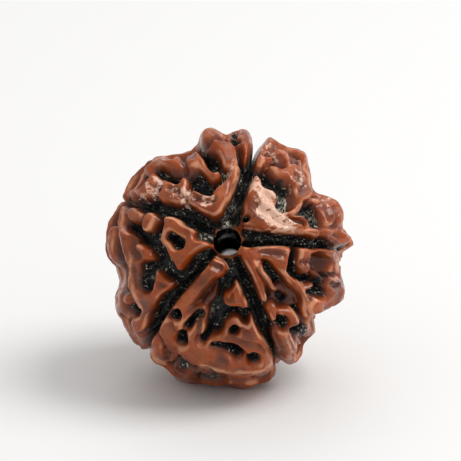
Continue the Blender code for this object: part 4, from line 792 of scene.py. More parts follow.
def bore_rows(first_ring, last_ring, count):
    """Grid of the hole's wall, from the back's mouth to the face's: two rings joined through the stone."""
    axes = np.stack(pole_axes())
    first = first_ring @ axes.T
    last = last_ring @ axes.T
    share = np.linspace(0.0, 1.0, count + 2)[1:-1, None]
    along = last[:, 2] + share * (first[:, 2] - last[:, 2])
    turn = np.arctan2(first[:, 1], first[:, 0])
    deep = np.minimum(share, 1.0 - share) * 2.0 * POLE_RADIUS
    radius = BORE_RADIUS + (MOUTH_RADIUS - BORE_RADIUS) * ease(deep, MOUTH_FLARE, 0.0)
    wall = np.stack((radius * np.cos(turn), radius * np.sin(turn), along), axis=-1)
    return wall @ axes


# %% [markdown]
# The skin needs to know more than its shape. Close to the edge of raised ground the colour changes, and in
# the pits it is black. So values are kept on the stone's points, and the finish reads them. Some come from
# the distances that shaped the stone: how far inside raised ground a point lies, how dark its ground is,
# and how much painted shade it gets in a crease or deep below the ridge tops. The others are placed on the
# plan, where the face has scuffs with painted glare, lines of wear with a painted highlight, painted shade,
# thick oil or painted glints on its fibre. A round patch is x, y, radius and strength, and a line of wear
# and painted highlight is x, y and half width.

# %% What the finish reads
PIT_DARK = (-0.1, 0.1)
CHANNEL_DARK = (-0.02, -0.2)
MOUTH_LIP = (0.6, 0.35)
LIP_SWING = 0.35
LIP_WAVE = 1.5
PATCH_FADE = (1.5, 0.3)
# Painted shade: full in a crease this deep, and fading in over this depth below the ridge tops, in mm.
CREASE_DEEP = 0.6
SHADE_DEPTH = (0.3, 1.25)
LIP_INSIDE = 0.3
# How far a line of wear and painted highlight fades on either side of its edge, in mm.
WORN_HIGHLIGHT_FADE = 0.1
# Scuffed patches that also carry painted glare.
SCUFF_AND_GLARE_PATCHES = [
    (3.2, 5.8, 1.5, 1.0), (3.6, 4.5, 1.6, 1.0), (4.7, 3.7, 1.4, 1.0), (2.6, 6.8, 1.3, 0.9),
    (5.7, 3.1, 1.0, 0.9), (-4.9, 6.4, 1.3, 0.72), (-4.4, 6.0, 0.9, 0.8), (-2.2, 5.5, 1.1, 0.7),
    (-7.6, 6.6, 0.9, 0.75), (-7.3, 7.6, 0.8, 0.75), (6.8, 7.6, 1.6, 0.6), (3.6, 10.8, 1.6, 0.6),
    (0.3, 8.6, 1.1, 0.6), (-9.2, 6.0, 1.0, 0.65), (9.6, 5.6, 1.2, 0.55), (6.4, 9.2, 1.0, 0.6),
    (3.2, -1.8, 1.0, 0.55),
]
BLACK_SPOTS = [
    (-4.6, -10.6, 0.6, 0.8), (-1.6, -11.7, 0.45, 0.8), (7.2, -7.2, 0.55, 1.0),
    (8.7, -2.2, 0.5, 1.0), (5.0, 7.6, 0.4, 0.9),
]
SHADE = [
    (-3.2, -11.6, 0.9, 0.9), (-0.9, -12.0, 0.7, 0.9), (-6.0, -9.4, 0.8, 0.7),
    (-4.8, -10.8, 1.0, 1.0), (-1.7, -11.7, 0.9, 1.0), (6.1, -3.7, 1.0, 0.8), (4.6, -4.2, 0.8, 0.7),
    (8.9, -1.6, 0.9, 0.7), (7.6, -8.2, 0.9, 0.6), (5.6, 7.4, 0.9, 0.6), (-11.0, 0.6, 0.6, 0.5),
    (-9.4, 3.4, 0.6, 0.6), (3.4, -11.9, 0.7, 0.7), (8.1, -0.4, 0.6, 0.7), (-3.9, 8.4, 0.7, 0.6),
    (4.9, 9.8, 0.6, 0.7), (6.6, -6.9, 0.6, 0.6), (-10.6, -5.4, 0.6, 0.6),
]
OILED = [
    (1.8, -0.4, 0.6, 1.0), (2.3, -1.6, 0.6, 1.0), (2.8, -2.8, 0.6, 1.0), (3.1, -3.7, 0.5, 1.0),
    (2.2, 0.7, 0.6, 0.8), (3.6, 0.9, 0.5, 0.6), (4.9, 1.1, 0.5, 0.6), (-1.0, -0.8, 0.7, 1.0),
    (-0.6, -1.3, 0.5, 1.0), (1.5, 4.8, 0.6, 1.0), (1.9, 5.8, 0.5, 0.9), (1.6, 3.4, 0.6, 0.9),
    (3.0, 2.9, 0.5, 0.8), (4.5, 2.8, 0.4, 0.7), (6.6, 2.8, 0.4, 0.6), (-1.6, 4.4, 0.8, 1.0),
    (-2.6, 4.8, 0.7, 0.8), (-0.4, 5.6, 0.6, 0.9), (0.2, 7.0, 0.5, 0.8), (-3.4, 5.2, 0.5, 0.6),
    (-4.4, 2.9, 0.5, 0.9), (-3.5, 2.2, 0.4, 0.8), (-3.1, 1.1, 0.5, 0.7), (0.9, -3.2, 0.5, 0.8),
    (1.3, -4.2, 0.5, 0.8), (1.0, -7.5, 0.9, 0.8), (2.2, -7.3, 0.6, 0.7), (3.2, -8.8, 0.5, 0.5),
    (9.9, -0.4, 0.5, 0.9), (10.2, -2.2, 0.6, 0.9), (7.4, -0.4, 0.5, 0.7), (-1.4, 11.8, 0.9, 0.5),
    (1.6, 12.2, 0.7, 0.6), (-0.2, 10.5, 0.7, 0.5), (1.4, 10.4, 0.5, 0.7), (9.4, 4.6, 0.8, 0.6),
    (10.6, 4.4, 0.5, 0.5),
]
# Lines of wear along edges that carry a painted highlight.
WORN_HIGHLIGHT_LINES = [
    [(-2.9, -10.7, 0.14), (-1.5, -11.2, 0.14), (0.5, -11.5, 0.14), (2.5, -11.5, 0.14), (3.8, -11.1, 0.14),
     (4.3, -10.3, 0.14), (4.1, -9.3, 0.12), (3.2, -7.9, 0.1)],
    [(1.6, 1.0, 0.1), (3.5, 1.1, 0.14), (5.0, 1.3, 0.16), (5.7, 1.0, 0.14), (5.8, 0.4, 0.1)],
    [(-1.9, 0.9, 0.1), (-1.3, 0.1, 0.14), (-0.6, -0.4, 0.16), (-0.2, -1.0, 0.14)],
    [(2.5, -0.3, 0.1), (3.0, -1.2, 0.2), (3.9, -2.3, 0.16), (4.5, -3.1, 0.12)],
    [(-9.9, 0.8, 0.1), (-10.0, -1.0, 0.14), (-9.9, -2.8, 0.14), (-9.3, -4.2, 0.14), (-8.8, -5.2, 0.1)],
    [(0.9, 8.7, 0.16), (0.5, 7.4, 0.2), (0.0, 6.2, 0.14), (-0.5, 5.2, 0.1)],
    [(-6.4, 4.1, 0.1), (-5.6, 4.0, 0.14), (-4.6, 3.4, 0.14), (-3.6, 2.6, 0.12)],
    [(5.6, -7.5, 0.1), (5.9, -8.6, 0.14), (6.5, -9.7, 0.12)],
    [(1.5, 3.0, 0.1), (3.5, 2.75, 0.12), (5.5, 2.6, 0.14), (7.2, 2.5, 0.14)],
    [(6.7, -2.1, 0.12), (7.3, -2.9, 0.16), (7.6, -3.8, 0.12)],
    [(0.6, -2.4, 0.14), (1.2, -3.4, 0.12), (1.6, -4.5, 0.1)],
    [(6.0, -5.0, 0.12), (6.7, -5.8, 0.14), (6.8, -6.4, 0.12)],
]
BROWN_GROUND = [
    (0.8, 3.2, 0.55, 1.0), (0.1, 3.3, 0.4, 0.8), (1.2, 2.2, 0.6, 1.0), (-1.6, 2.8, 0.5, 0.9),
]
# Patches where the fibre gets more painted glints.
FIBRE_GLINT_PATCHES = [
    (5.6, 5.6, 1.1, 1.0), (3.8, 7.2, 0.7, 0.8), (-0.8, 7.9, 0.9, 1.0), (-2.6, 2.3, 0.7, 1.0),
    (-0.2, 3.6, 0.7, 1.0), (8.2, 4.2, 0.7, 0.6), (-7.6, 7.0, 0.5, 0.8), (-4.2, 5.8, 0.5, 1.0),
    (-2.6, -5.8, 0.9, 0.5), (0.4, -4.2, 0.7, 0.4), (-8.2, -2.0, 0.6, 0.5), (0.6, 6.0, 0.7, 0.6),
]


def drawn_pits(plan):
    """How far each plan point lies inside a drawn pit, in mm; below nought outside them all."""
    inside = np.full(len(plan), FAR_OUTSIDE)
    for points in PITS:
        close = near(plan, points)
        inside[close] = np.maximum(inside[close], inside_line(plan[close], points))
    return inside


def patched(plan, patches):
    """The patch's strength in the middle of a round patch, falling to nought past its radius."""
    outer, inner = PATCH_FADE
    share = np.zeros(len(plan))
    for x, y, radius, strength in patches:
        gap = np.hypot(plan[:, 0] - x, plan[:, 1] - y)
        share = np.maximum(share, strength * ease(gap, radius * outer, radius * inner))
    return share


def worn_highlight_lines(plan):
    """One along the middle of each line of wear and painted highlight, falling to nought at its sides."""
    share = np.zeros(len(plan))
    for points in WORN_HIGHLIGHT_LINES:
        close = near(plan, points)
        worn_highlight = ease(inside_line(plan[close], points), -WORN_HIGHLIGHT_FADE, WORN_HIGHLIGHT_FADE)
        share[close] = np.maximum(share[close], worn_highlight)
    return share


def finish_marks(directions, inside, radius):
    """The outside's marks, from nought to one, and how far each point belongs to the hole's brown lip.

    Painted shade, spots, oil and the lines of wear and painted highlight are placed where they show. The
    plan's other marks go with the ridges and pits, so they are looked up as those are.
    """
    top = envelope(directions)
    plan, deep_plan = looked_up(directions, top)
    behind = (directions @ plan_axes()[2] < 0.0)[:, None]
    shown = np.where(behind, FAR_OFF, seen_on_plan(directions * radius[:, None]))
    ragged = LIP_SWING * ripple(directions * RING_RADIUS, LIP_WAVE, SEED + 33)
    lip = ease(from_mouth(directions) + ragged, *MOUTH_LIP)
    lip = np.maximum(lip, patched(plan, BROWN_GROUND))
    dark = np.maximum(ease(inside, *CHANNEL_DARK), ease(drawn_pits(deep_plan), *PIT_DARK))
    dark = np.maximum(dark, patched(shown, BLACK_SPOTS))
    # Painted shade in creases, deeper below the ridge tops, and in the shade patches.
    painted_shade = np.clip(creased(plan) / CREASE_DEEP, 0.0, 1.0)
    painted_shade = np.maximum(painted_shade, ease(top - radius, *SHADE_DEPTH))
    painted_shade = np.maximum(painted_shade, patched(shown, SHADE))
    marks = {
        "dark": dark * (1.0 - lip),
        "painted_shade": painted_shade * (1.0 - lip),
        "scuff_and_glare": patched(plan, SCUFF_AND_GLARE_PATCHES),
        "glint": patched(plan, FIBRE_GLINT_PATCHES),
        "worn_highlight": worn_highlight_lines(shown),
        "oiled": patched(shown, OILED),
    }
    return marks, lip


print(len(SCUFF_AND_GLARE_PATCHES), "scuffed patches and", len(FIBRE_GLINT_PATCHES), "patches of pale fibre")

# %% [markdown]
# Now the fine stone itself. Its grid has about half a million faces, far more than its broad plates need,
# so a Decimate modifier thins it out afterwards and keeps the faces where the surface bends. The recesses
# get some roughness first, because the dried fibre in them is never smooth, and the skin gets a little.
# The hole's wall has faint rings. How much it mirrors is a mark too: a hole this deep only mirrors near its
# mouths.

# %% Points of the fine stone
FINE_COLUMNS = 880
FINE_ROWS = 470
FINE_BORE_ROWS = 90
FIBRE_ROUGHNESS = 0.07
FIBRE_WAVES = (0.9, 0.55)
SKIN_ROUGHNESS = 0.04
SKIN_WAVES = (1.5, 0.8)
BORE_RINGS = 0.05
BORE_RING_COUNT = 3.4
FRONT_GLOSS = 0.3
FRONT_ENDS = (4.0, 1.0)
FAR_GLOSS = 0.16
FAR_ENDS = (11.0, 16.0)


def two_ripples(ball, waves, seed):
    """Two ripples of these lengths, added."""
    return ripple(ball, waves[0], seed) + ripple(ball, waves[1], seed + 1)


def fine_bore(first_ring, last_ring):
    """The hole's wall with its rings, a sine along the axis, and the wall's gloss."""
    wall = bore_rows(first_ring, last_ring, FINE_BORE_ROWS)
    axis = pole_axes()[2]
    along = wall @ axis
    rings = BORE_RINGS * np.sin(along / POLE_RADIUS * math.pi * BORE_RING_COUNT)
    spoke = wall - along[..., None] * axis
    wall = wall + unit_rows(spoke) * rings[..., None]
    from_face = (along.max() - along).reshape(-1)
    gloss = FRONT_GLOSS * ease(from_face, *FRONT_ENDS) + FAR_GLOSS * ease(from_face, *FAR_ENDS)
    return wall, gloss


def fine_stone():
    """Points of the closed grid in mm, cut level at the foot, and its marks, row by row."""
    directions = outer_directions(FINE_COLUMNS, FINE_ROWS)
    radius, inside = relief(directions)
    marks, lip = finish_marks(directions, inside, radius)
    ball = directions * RING_RADIUS
    dark = marks["dark"]
    radius = radius + FIBRE_ROUGHNESS * dark * two_ripples(ball, FIBRE_WAVES, SEED + 31)
    radius = radius + SKIN_ROUGHNESS * (1.0 - dark) * two_ripples(ball, SKIN_WAVES, SEED + 34)
    outside = (directions * radius[:, None]).reshape(FINE_ROWS, FINE_COLUMNS, 3)
    wall, gloss = fine_bore(outside[0], outside[-1])
    grid = np.concatenate((outside, wall), axis=0)
    grid[:, :, 2] = np.maximum(grid[:, :, 2], -FLOOR_DROP)
    marks["inside"] = np.maximum(inside, LIP_INSIDE * (2.0 * lip - 1.0))
    marks["bore"] = np.zeros(len(radius))
    marks["gloss"] = np.ones(len(radius))
    blank = np.zeros(len(gloss))
    on_wall = {"dark": blank + 1.0, "bore": blank + 1.0, "gloss": gloss}
    for name, values in marks.items():
        marks[name] = np.concatenate((values, on_wall.get(name, blank)))
    return grid, marks


stone_grid, stone_marks = fine_stone()
print("fine grid:", stone_grid.shape[0], "rows of", stone_grid.shape[1])

# %% [markdown]
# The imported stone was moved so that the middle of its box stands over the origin. The fine one has to lie
# just where it does, so it is moved to the same box.

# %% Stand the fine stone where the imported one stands


def stand_on_frame(grid):
    """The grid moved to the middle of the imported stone's box, with its foot on the table, and the move."""
    low, high = (np.array(corner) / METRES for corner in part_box("rudraksha_seed"))
    corners = grid.reshape(-1, 3)
    shift = (low + high) / 2.0 - (corners.min(axis=0) + corners.max(axis=0)) / 2.0
    shift[2] = low[2] - corners[:, 2].min()
    return grid + shift, shift


stone_grid, stone_shift = stand_on_frame(stone_grid)
print("moved by", stone_shift.round(3), "mm")

# %% Make its mesh, and thin it out
FINE_TRIANGLES = 190000


def grid_mesh(name, grid):
    """A mesh of quads over a grid that closes on itself both ways, faces outward, in metres."""
    rows, columns, _ = grid.shape
    index = np.arange(rows * columns, dtype=np.int32).reshape(rows, columns)
    below = np.roll(index, -1, axis=0)
    quads = np.stack((index, below, np.roll(below, -1, axis=1), np.roll(index, -1, axis=1)), axis=-1)
    mesh = bpy.data.meshes.new(name)
    mesh.vertices.add(rows * columns)
    mesh.vertices.foreach_set("co", (grid * METRES).astype(np.float32).ravel())
    mesh.loops.add(quads.size)
    mesh.loops.foreach_set("vertex_index", quads.ravel())
    mesh.polygons.add(quads.size // 4)
    mesh.polygons.foreach_set("loop_start", np.arange(0, quads.size, 4, dtype=np.int32))
    mesh.update(calc_edges=True)
    mesh.validate()
    return mesh


def put_marks(mesh, marks):
    """Stores each set of values on the mesh's points, under its name."""
    for name, values in marks.items():
        layer = mesh.attributes.new(name, "FLOAT", "POINT")
        layer.data.foreach_set("value", values.astype(np.float32))


def link(name, mesh):
    """A new object at the origin that shows this mesh."""
    thing = bpy.data.objects.new(name, mesh)
    bpy.context.collection.objects.link(thing)
    return thing


def thin_out(thing, triangles):
    """Decimate, applied: fewer faces where the surface is flat, and as many triangles as asked for."""
    modifier = thing.modifiers.new("thin", "DECIMATE")
    modifier.ratio = triangles / (2.0 * len(thing.data.polygons))
    evaluated = thing.evaluated_get(bpy.context.evaluated_depsgraph_get())
    thinned = bpy.data.meshes.new_from_object(evaluated)
    thing.modifiers.clear()
    thing.data = thinned


fine_mesh = grid_mesh("fine_stone", stone_grid)
put_marks(fine_mesh, stone_marks)
stone = link("rudraksha_stone", fine_mesh)
thin_out(stone, FINE_TRIANGLES)
stone.data.shade_smooth()
print("the stone has", len(stone.data.polygons), "faces")

# %% [markdown]
# Dried fibre of the fruit stays in the recesses. Up close it is a tangle of short dark hairs, and some
# catch the light. Each one is a thin three-sided tube along a small arch that starts on dark ground, and
# all are one mesh.

# %% Fibres in the recesses
FIBRE_COUNT = 5200
FIBRE_LENGTH = (0.35, 1.0)
FIBRE_RADIUS = 0.022
FIBRE_ARCH = 0.13
FIBRE_ARCH_SPREAD = (0.2, 1.6)
FIBRE_BEND = 0.35
FIBRE_TAPER = 0.6
FIBRE_POINTS = 4
DARK_ENOUGH = 0.9


def fibre_roots(count):
    """Seeded points on dark ground outside the hole, the way out from each, and the draws to go on with.

    The grid's points are closer together near the hole, so a point's chance is its distance from the axis.
    """
    draws = np.random.default_rng(SEED + 41)
    flat = stone_grid.reshape(-1, 3)
    ground = np.nonzero((stone_marks["dark"] > DARK_ENOUGH) & (stone_marks["bore"] == 0.0))[0]
    from_axis = np.linalg.norm(np.cross(pole_axes()[2], flat[ground] - stone_shift), axis=1)
    picked = draws.choice(ground, size=count, p=from_axis / from_axis.sum())
    return flat[picked], unit_rows(flat[picked] - stone_shift), draws


def fibre_tubes(count):
    """Three-sided tubes along low arches, with three points round each place on the way.

    A place is the root, plus t times the length along the ground, plus a sideways bend and a rise that both
    go as four times t times one less t.
    """
    roots, outward, draws = fibre_roots(count)
    ways = unit_rows(np.cross(outward, draws.normal(size=(count, 3))))
    side = np.cross(outward, ways)
    length = draws.uniform(*FIBRE_LENGTH, size=(count, 1))
    bend = draws.normal(size=(count, 1)) * FIBRE_BEND
    rise = FIBRE_ARCH * draws.uniform(*FIBRE_ARCH_SPREAD, size=(count, 1))
    t = np.linspace(0.0, 1.0, FIBRE_POINTS)[None, :, None]
    run = length[:, None] * t
    arch = 4.0 * t * (1.0 - t)
    path = roots[:, None] + ways[:, None] * run + side[:, None] * (bend * length)[:, None] * arch
    path = path + outward[:, None] * (rise[:, None] * arch + FIBRE_RADIUS)
    turn = np.array([0.0, 2.0, 4.0]) * math.pi / 3.0
    thick = FIBRE_RADIUS * (1.0 - FIBRE_TAPER * t)
    around = outward[:, None, None] * np.cos(turn)[None, None, :, None]
    around = around + side[:, None, None] * np.sin(turn)[None, None, :, None]
    return path[:, :, None] + around * thick[..., None]


def fibre_mesh(rings):
    """Quads between each ring of three and the next, and a triangle on each end."""
    count, steps, sides, _ = rings.shape
    first = np.arange(count)[:, None, None] * steps * sides
    ring = np.arange(steps - 1)[None, :, None] * sides
    place = np.arange(sides)[None, None, :]
    here = first + ring + place
    ahead = first + ring + (place + 1) % sides
    quads = np.stack((here, ahead, ahead + sides, here + sides), axis=-1).reshape(-1, 4)
    start = (first[:, 0] + np.array([2, 1, 0])).reshape(-1, 3)
    end = (first[:, 0] + (steps - 1) * sides + np.array([0, 1, 2])).reshape(-1, 3)
    mesh = bpy.data.meshes.new("recess_fibres")
    faces = quads.tolist() + start.tolist() + end.tolist()
    mesh.from_pydata((rings.reshape(-1, 3) * METRES).tolist(), [], faces)
    return mesh


fibres = link("recess_fibres", fibre_mesh(fibre_tubes(FIBRE_COUNT)))
fibres.data.shade_smooth()
print(FIBRE_COUNT, "fibres,", len(fibres.data.polygons), "faces")

# %% [markdown]
# One effect serves both finishes, the speckle of fibre: two fine noises that lift a colour towards a glint
# colour where they peak together, a painted glint as where a hair catches the light. It is a node group
# with named sockets, built once.

# %% Helpers for node trees


def node(tree, kind, **inputs):
    """Adds a node and sets the named inputs that are plain values."""
    made = tree.nodes.new(kind)
    for name, value in inputs.items():
        made.inputs[name.replace("_", " ")].default_value = value
    return made


def mark(tree, name):
    """The values stored on the points under this name."""
    made = tree.nodes.new("ShaderNodeAttribute")
    made.attribute_name = name
    return made.outputs["Fac"]


def remap(tree, value, low, high):
    """Nought at low and one at high, a smooth S between, and held past both."""
    made = tree.nodes.new("ShaderNodeMapRange")
    made.interpolation_type = "SMOOTHSTEP"
    tree.links.new(value, made.inputs["Value"])
    made.inputs["From Min"].default_value = low
    made.inputs["From Max"].default_value = high
    return made.outputs["Result"]


def feed(tree, socket, value):
    """Links the value to the socket if it is a socket too, and otherwise sets it there."""
    if isinstance(value, bpy.types.NodeSocket):
        tree.links.new(value, socket)
    else:
        socket.default_value = value


def blend_colour(tree, factor, first, second):
    """First colour at factor nought and second at one. Each may be a colour or a socket."""
    made = tree.nodes.new("ShaderNodeMix")
    made.data_type = "RGBA"
    for name, value in (("Factor_Float", factor), ("A_Color", first), ("B_Color", second)):
        feed(tree, next(s for s in made.inputs if s.identifier == name), value)
    return next(s for s in made.outputs if s.identifier == "Result_Color")


def chain(tree, operation, first, *others):
    """The operation carried along a row of numbers or sockets, from the left."""
    result = first
    for value in others:
        made = tree.nodes.new("ShaderNodeMath")
        made.operation = operation
        feed(tree, made.inputs[0], result)
        feed(tree, made.inputs[1], value)
        result = made.outputs[0]
    return result


def times(tree, *values):
    """All the values multiplied."""
    return chain(tree, "MULTIPLY", *values)


def plus(tree, *values):
    """All the values added."""
    return chain(tree, "ADD", *values)


def noise(tree, scale, detail=2.0, rough=0.5):
    """Noise on the object's own metres: scale is how many swings fit in a metre."""
    place = tree.nodes.new("ShaderNodeTexCoord")
    made = node(tree, "ShaderNodeTexNoise", Scale=scale, Detail=detail, Roughness=rough)
    tree.links.new(place.outputs["Object"], made.inputs["Vector"])
    return made.outputs["Fac"]


def cloud(tree, scale, detail, rough, low, high):
    """Noise that is nought up to low and one from high."""
    return remap(tree, noise(tree, scale, detail, rough), low, high)


print("helpers ready")

# %% The fibre speckle, a group that both finishes use
# Each noise is swings a metre, detail and roughness, and its ends are where it starts to show and is full.
FINE_SPECKLE = (4200.0, 2.0, 0.6)
FINE_SPECKLE_ENDS = (0.58, 0.66)
COARSE_SPECKLE = (900.0, 2.0, 0.5)
COARSE_SPECKLE_ENDS = (0.46, 0.6)


def speckle_group():
    """Two colours in; out come the ground colour, with painted glints where both noises peak, and a height.
    """
    group = bpy.data.node_groups.new("fibre_speckle", "ShaderNodeTree")
    for name, way, kind in (
        ("Ground", "INPUT", "NodeSocketColor"),
        ("Glint", "INPUT", "NodeSocketColor"),
        ("Colour", "OUTPUT", "NodeSocketColor"),
        ("Height", "OUTPUT", "NodeSocketFloat"),
    ):
        group.interface.new_socket(name, in_out=way, socket_type=kind)
    into = group.nodes.new("NodeGroupInput")
    out = group.nodes.new("NodeGroupOutput")
    fine = noise(group, *FINE_SPECKLE)
    coarse = noise(group, *COARSE_SPECKLE)
    peaks = remap(group, fine, *FINE_SPECKLE_ENDS)
    peaks = times(group, peaks, remap(group, coarse, *COARSE_SPECKLE_ENDS))
    colour = blend_colour(group, peaks, into.outputs["Ground"], into.outputs["Glint"])
    group.links.new(colour, out.inputs["Colour"])
    group.links.new(plus(group, fine, coarse), out.inputs["Height"])
    return group


FIBRE_SPECKLE = speckle_group()


def use_speckle(tree, ground, glint):
    """Places the group in a tree with these two colours."""
    made = tree.nodes.new("ShaderNodeGroup")
    made.node_tree = FIBRE_SPECKLE
    made.inputs["Ground"].default_value = ground
    made.inputs["Glint"].default_value = glint
    return made.outputs["Colour"], made.outputs["Height"]


print("speckle group has", len(FIBRE_SPECKLE.nodes), "nodes")

# %% [markdown]
# The skin of the stone is old oil rubbed into wood-hard shell. Broad tops are a rosy brown with darker
# patches and a fine mottle, and the flanks of the ridges are a clear orange brown. Where oil lies thick it
# is deeper still. Hollows, creases and the feet of the flanks get painted shade that is nearly black. The
# crest of each edge is paler with wear and a painted highlight, and some tops have pale pink scuffs with
# painted glare. Such a skin is a stack of veils: each is a colour, laid over the last ones by a mask and a
# share. A mask is a noise, or a mark on the points, or a mark broken up by a noise so that its edge is
# uneven. The hole's wall is painted black for the shade deep inside it, and is smooth.

# %% Colours of the skin, as linear red, green and blue
TOP_BROWN = (0.360, 0.078, 0.014, 1.0)
TOP_DEEP = (0.120, 0.024, 0.006, 1.0)
FLANK_ORANGE = (0.330, 0.052, 0.001, 1.0)
OIL_ORANGE = (0.200, 0.024, 0.000, 1.0)
# Painted shade for hollows, creases and the feet of the flanks.
PAINTED_SHADE_BROWN = (0.036, 0.008, 0.004, 1.0)
# Paler edges: wear with a painted highlight.
EDGE_WORN_HIGHLIGHT = (0.720, 0.330, 0.180, 1.0)
# Scuffs with painted glare.
SCUFF_AND_GLARE_PALE = (0.720, 0.450, 0.330, 1.0)
GROUND_BLACK = (0.006, 0.006, 0.007, 1.0)
# Painted glints of the fibre.
FIBRE_GLINT = (0.820, 0.760, 0.600, 1.0)
# Painted shade deep in the hole.
BORE_SHADE_BLACK = (0.004, 0.004, 0.005, 1.0)
print("skin colours ready")

# %% Where each veil shows, and how strongly
# A cloud is a noise (swings a metre, detail, roughness) with the two values between which it fades in.
PATCH_CLOUD = (330.0, 3.0, 0.55, 0.35, 0.7)
FLANK_CLOUD = (240.0, 2.0, 0.5, 0.3, 0.6)
MOTTLE_CLOUD = (1700.0, 4.0, 0.6, 0.5, 0.72)
# The foot values place painted shade at the feet of the flanks.
FOOT_SHADE_CLOUD = (500.0, 2.0, 0.5, 0.2, 0.5)
# Crest and line values place wear with a painted highlight along the edges.
CREST_CLOUD = (420.0, 2.0, 0.5, 0.4, 0.62)
WORN_HIGHLIGHT_CLOUD = (700.0, 3.0, 0.5, 0.3, 0.55)
GLINT_CLOUD = (3200.0, 2.0, 0.6, 0.49, 0.56)
FLAKE_NOISE = (1500.0, 5.0, 0.65)
FLAKE_SPREAD = 0.42
FLAKE_ENDS = (0.34, 0.46)
FLANK_INSIDE = (0.6, 0.4)
FOOT_SHADE_INSIDE = (0.12, -0.14)
CREST_INSIDE = (0.04, 0.14)
CREST_PAST = (0.36, 0.22)
CREST_SHADED = (0.35, 0.0)
OIL_SHARE = 0.85
MOTTLE_SHARE = 0.6
PAINTED_SHADE_SHARE = 0.8
CREST_SHARE = 0.7
WORN_HIGHLIGHT_SHARE = 0.75
FLAKE_SHARE = 0.9
print("the skin's patches are about", round(1000.0 / PATCH_CLOUD[0], 1), "mm across")

# %% The skin's colour


def flakes(tree):
    """Scuffs with painted glare, in flakes: noise less a part of what their mark lacks, cut at two close
    ends.
    """
    lacking = chain(tree, "SUBTRACT", mark(tree, "scuff_and_glare"), 1.0)
    level = plus(tree, noise(tree, *FLAKE_NOISE), times(tree, lacking, FLAKE_SPREAD))
    return remap(tree, level, *FLAKE_ENDS)


def skin_colour(tree):
    """Veil upon veil over the brown of the tops: each mixes its colour in by its mask times its share."""
    inside = mark(tree, "inside")
    painted_shade = mark(tree, "painted_shade")
    flank = times(tree, remap(tree, inside, *FLANK_INSIDE), cloud(tree, *FLANK_CLOUD))
    # Painted shade at the feet of the flanks, where they meet the dark ground.
    foot = times(tree, remap(tree, inside, *FOOT_SHADE_INSIDE), cloud(tree, *FOOT_SHADE_CLOUD))
    # Wear with a painted highlight along the crest of each edge, left out in painted shade.
    crest = times(tree, remap(tree, inside, *CREST_INSIDE), remap(tree, inside, *CREST_PAST))
    crest = times(tree, crest, remap(tree, painted_shade, *CREST_SHADED), cloud(tree, *CREST_CLOUD))
    # Lines of wear with a painted highlight.
    worn_highlight = times(tree, mark(tree, "worn_highlight"), cloud(tree, *WORN_HIGHLIGHT_CLOUD))
    veils = (
        (TOP_DEEP, cloud(tree, *PATCH_CLOUD), 1.0),
        (FLANK_ORANGE, flank, 1.0),
        (OIL_ORANGE, mark(tree, "oiled"), OIL_SHARE),
        (TOP_DEEP, cloud(tree, *MOTTLE_CLOUD), MOTTLE_SHARE),
        (PAINTED_SHADE_BROWN, foot, PAINTED_SHADE_SHARE),
        (PAINTED_SHADE_BROWN, painted_shade, PAINTED_SHADE_SHARE),
        (EDGE_WORN_HIGHLIGHT, crest, CREST_SHARE),
        (EDGE_WORN_HIGHLIGHT, worn_highlight, WORN_HIGHLIGHT_SHARE),
        (SCUFF_AND_GLARE_PALE, flakes(tree), FLAKE_SHARE),
    )
    colour = TOP_BROWN
    for veil, mask, share in veils:
        colour = blend_colour(tree, times(tree, mask, share), colour, veil)
    return colour


print("the skin has a colour of its own and its veils")

# %% The stone's finish
# Ground is dark past the middle of the dark mark, give or take this noise.
DARK_NOISE = (900.0, 3.0)
DARK_UNEVEN = 0.5
DARK_ENDS = (0.25, 0.75)
# Roughness of the skin, and what noise, dark ground and scuffs add to it and the hole takes off.
SKIN_ROUGH = 0.30
ROUGH_NOISE = (700.0, 3.0)
ROUGH_SWING = 0.22
DARK_ROUGHER = 0.25
SCUFF_ROUGHER = 0.2
BORE_SMOOTHER = 0.6
# The oil's shine.
SPECULAR_LEVEL = 0.2
COAT_WEIGHT = 0.42
COAT_ROUGHNESS = 0.07
# Grain of the skin and fuzz of the dark ground, as heights in metres.
FINE_GRAIN = (2600.0, 3.0, 0.55)
FINE_GRAIN_HEIGHT = 0.00004
BROAD_GRAIN = (1000.0, 2.0, 0.5)
BROAD_GRAIN_HEIGHT = 0.00009
FUZZ_HEIGHT = 0.00010
BUMP_STRENGTH = 0.9


def dark_ground(tree):
    """The dark mark with an uneven edge."""
    swing = chain(tree, "SUBTRACT", noise(tree, *DARK_NOISE), 0.5)
    level = plus(tree, mark(tree, "dark"), times(tree, swing, DARK_UNEVEN))
    return remap(tree, level, *DARK_ENDS)


def ground_colour(tree, ground):
    """Speckled ground, with painted glints of fibre where the glint mark and its noise meet."""
    glints = times(tree, mark(tree, "glint"), cloud(tree, *GLINT_CLOUD))
    return blend_colour(tree, glints, ground, FIBRE_GLINT)


def stone_roughness(tree, dark):
    """The skin's roughness with its swings, more on dark and scuffed ground and less in the hole."""
    rough = plus(
        tree,
        SKIN_ROUGH,
        times(tree, noise(tree, *ROUGH_NOISE), ROUGH_SWING),
        times(tree, dark, DARK_ROUGHER),
        times(tree, mark(tree, "scuff_and_glare"), SCUFF_ROUGHER),
    )
    return chain(tree, "SUBTRACT", rough, times(tree, mark(tree, "bore"), BORE_SMOOTHER))


def stone_height(tree, dark, speckle):
    """Grain all over, and fuzz on dark ground outside the hole, in metres."""
    fine = times(tree, noise(tree, *FINE_GRAIN), FINE_GRAIN_HEIGHT)
    broad = times(tree, noise(tree, *BROAD_GRAIN), BROAD_GRAIN_HEIGHT)
    fibrous = chain(tree, "SUBTRACT", dark, mark(tree, "bore"))
    return plus(tree, fine, broad, times(tree, speckle, fibrous, FUZZ_HEIGHT))


